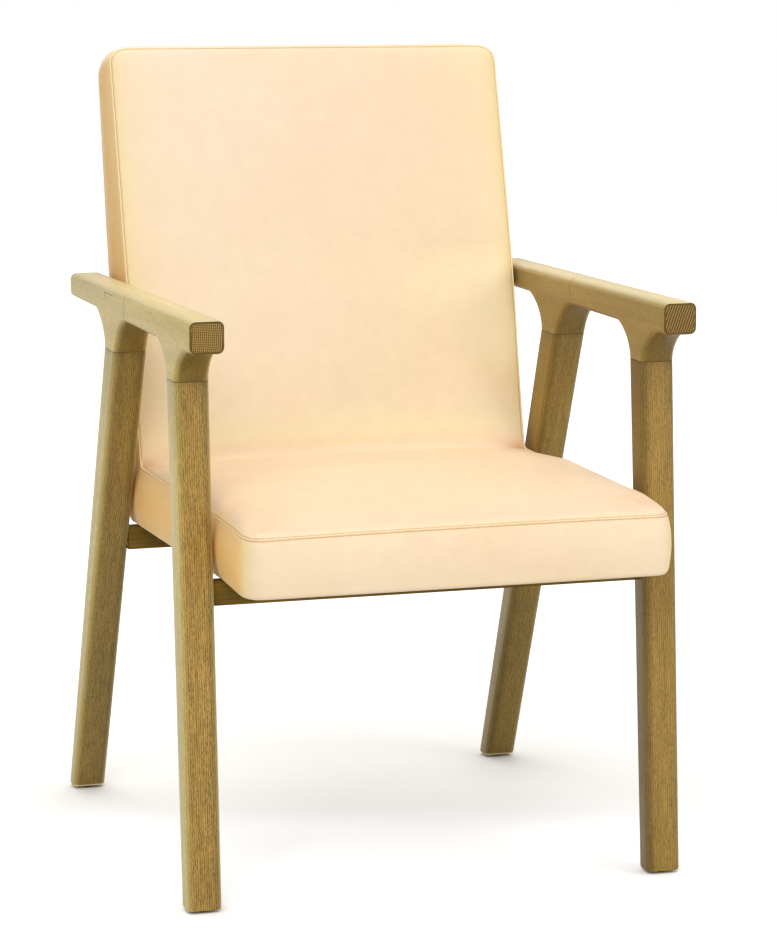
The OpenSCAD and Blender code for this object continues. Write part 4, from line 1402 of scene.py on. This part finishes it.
# %% Camera
CAMERA_PLACE = (-1.294, -4.227, 1.204)
CAMERA_YAW, CAMERA_PITCH = 17.31, 9.59
IMAGE_HEIGHT, FOCAL_PIXELS = 939, 3691
camera_data = bpy.data.cameras.new("photo_camera")
camera_data.sensor_fit = "VERTICAL"
camera_data.sensor_height = 36
camera_data.lens = FOCAL_PIXELS * camera_data.sensor_height / IMAGE_HEIGHT
camera = bpy.data.objects.new("photo_camera", camera_data)
camera.location = CAMERA_PLACE
camera.rotation_euler = (math.radians(90 - CAMERA_PITCH), 0, math.radians(-CAMERA_YAW))
bpy.context.scene.collection.objects.link(camera)
bpy.context.scene.camera = camera
bpy.context.scene.view_settings.view_transform = "Standard"
print("camera with a lens of", round(camera_data.lens, 1), "mm")

# %% [markdown]
# The photograph's ground is pure white, with a soft shadow only under and behind the chair. A bright
# floor would light the chair from below, so the floor and the world shine at full strength only for
# the camera and for what the camera sees in a gloss. The floor's glow is weaker near the chair and
# behind it, so that its shadow shows there, and stronger in front, where it paints light over the
# shadow. Ambient occlusion paints a darker shadow at the spots where the feet stand.

# %% Floor and world that look white to the camera
AMBIENT = 0.5
FLOOR_FADE = 4.0
VIEW_YAW, SHADE_END, SHADE_RUN = math.radians(CAMERA_YAW), -0.04, 0.22
SHADED_GLOW, FAR_GLOW, FRONT_GLOW = (0.37, 0.355, 0.33), 0.8, (0.56, 0.55, 0.54)


def seen_directly(tree):
    path = tree.nodes.new("ShaderNodeLightPath")
    first = math_node(tree, "MAXIMUM", path.outputs["Is Camera Ray"], path.outputs["Is Glossy Ray"])
    return math_node(tree, "MAXIMUM", first, path.outputs["Is Transmission Ray"])


world = bpy.data.worlds.new("white_studio")
bpy.context.scene.world = world
world.use_nodes = True
tree = world.node_tree
sky = tree.nodes["Background"]
strength = math_node(tree, "ADD", times(tree, seen_directly(tree), 1 - AMBIENT), AMBIENT)
wire(tree, sky, {"Color": (1, 1, 1), "Strength": strength})

clear_selection()
bpy.ops.mesh.primitive_plane_add(size=14, location=(0, 0, 0))
floor = name_piece("studio_floor")
material, tree, shader = new_material("white_floor")
far = node(tree, "ShaderNodeVectorMath", operation="LENGTH")
tree.links.new(coordinates(tree), far.inputs[0])
share = math_node(tree, "DIVIDE", far.outputs["Value"], FLOOR_FADE)
glow = ramp(tree, share, [(0.12, SHADED_GLOW), (0.55, FAR_GLOW)])
x, y, z = split(tree, coordinates(tree))
depth = weighted_sum(tree, (x, math.sin(VIEW_YAW)), (y, math.cos(VIEW_YAW)))
behind = math_node(tree, "DIVIDE", math_node(tree, "SUBTRACT", depth, SHADE_END), SHADE_RUN)
# In front of the chair the stronger glow paints light over the floor's shadow
ease = ramp(tree, behind, [(0, 0), (0.3, 0.12), (0.7, 0.85), (1, 1)])
# Painted contact shadow: ambient occlusion darkens the glow near the feet
contact = node(tree, "ShaderNodeAmbientOcclusion", samples=16, Distance=0.14)
glow = tint(tree, blend_colors(tree, ease, FRONT_GLOW, glow), contact.outputs["Color"])
wire(tree, shader, {"Base Color": (0.8, 0.8, 0.8), "Roughness": 1.0, "Specular IOR Level": 0.0,
                    "Emission Color": glow, "Emission Strength": seen_directly(tree)})
floor.data.materials.append(material)
print("white floor and world")

# %% Soft lamps
LAMP_TARGET = Vector((0, 0, 0.5))


def area_lamp(name, place, size, watts):
    """A square lamp that points at the middle of the chair."""
    data = bpy.data.lights.new(name, "AREA")
    data.shape = "RECTANGLE"
    data.size = data.size_y = size
    data.energy = watts
    lamp = bpy.data.objects.new(name, data)
    lamp.location = place
    lamp.rotation_euler = (LAMP_TARGET - Vector(place)).to_track_quat("-Z", "Y").to_euler()
    bpy.context.scene.collection.objects.link(lamp)


area_lamp("key_lamp", (-1.6, -3.2, 3.0), 2.0, 67)
area_lamp("fill_lamp", (2.8, -2.4, 1.8), 2.0, 30)
area_lamp("top_lamp", (0, 0.6, 3.4), 2.4, 40)
print("three lamps")
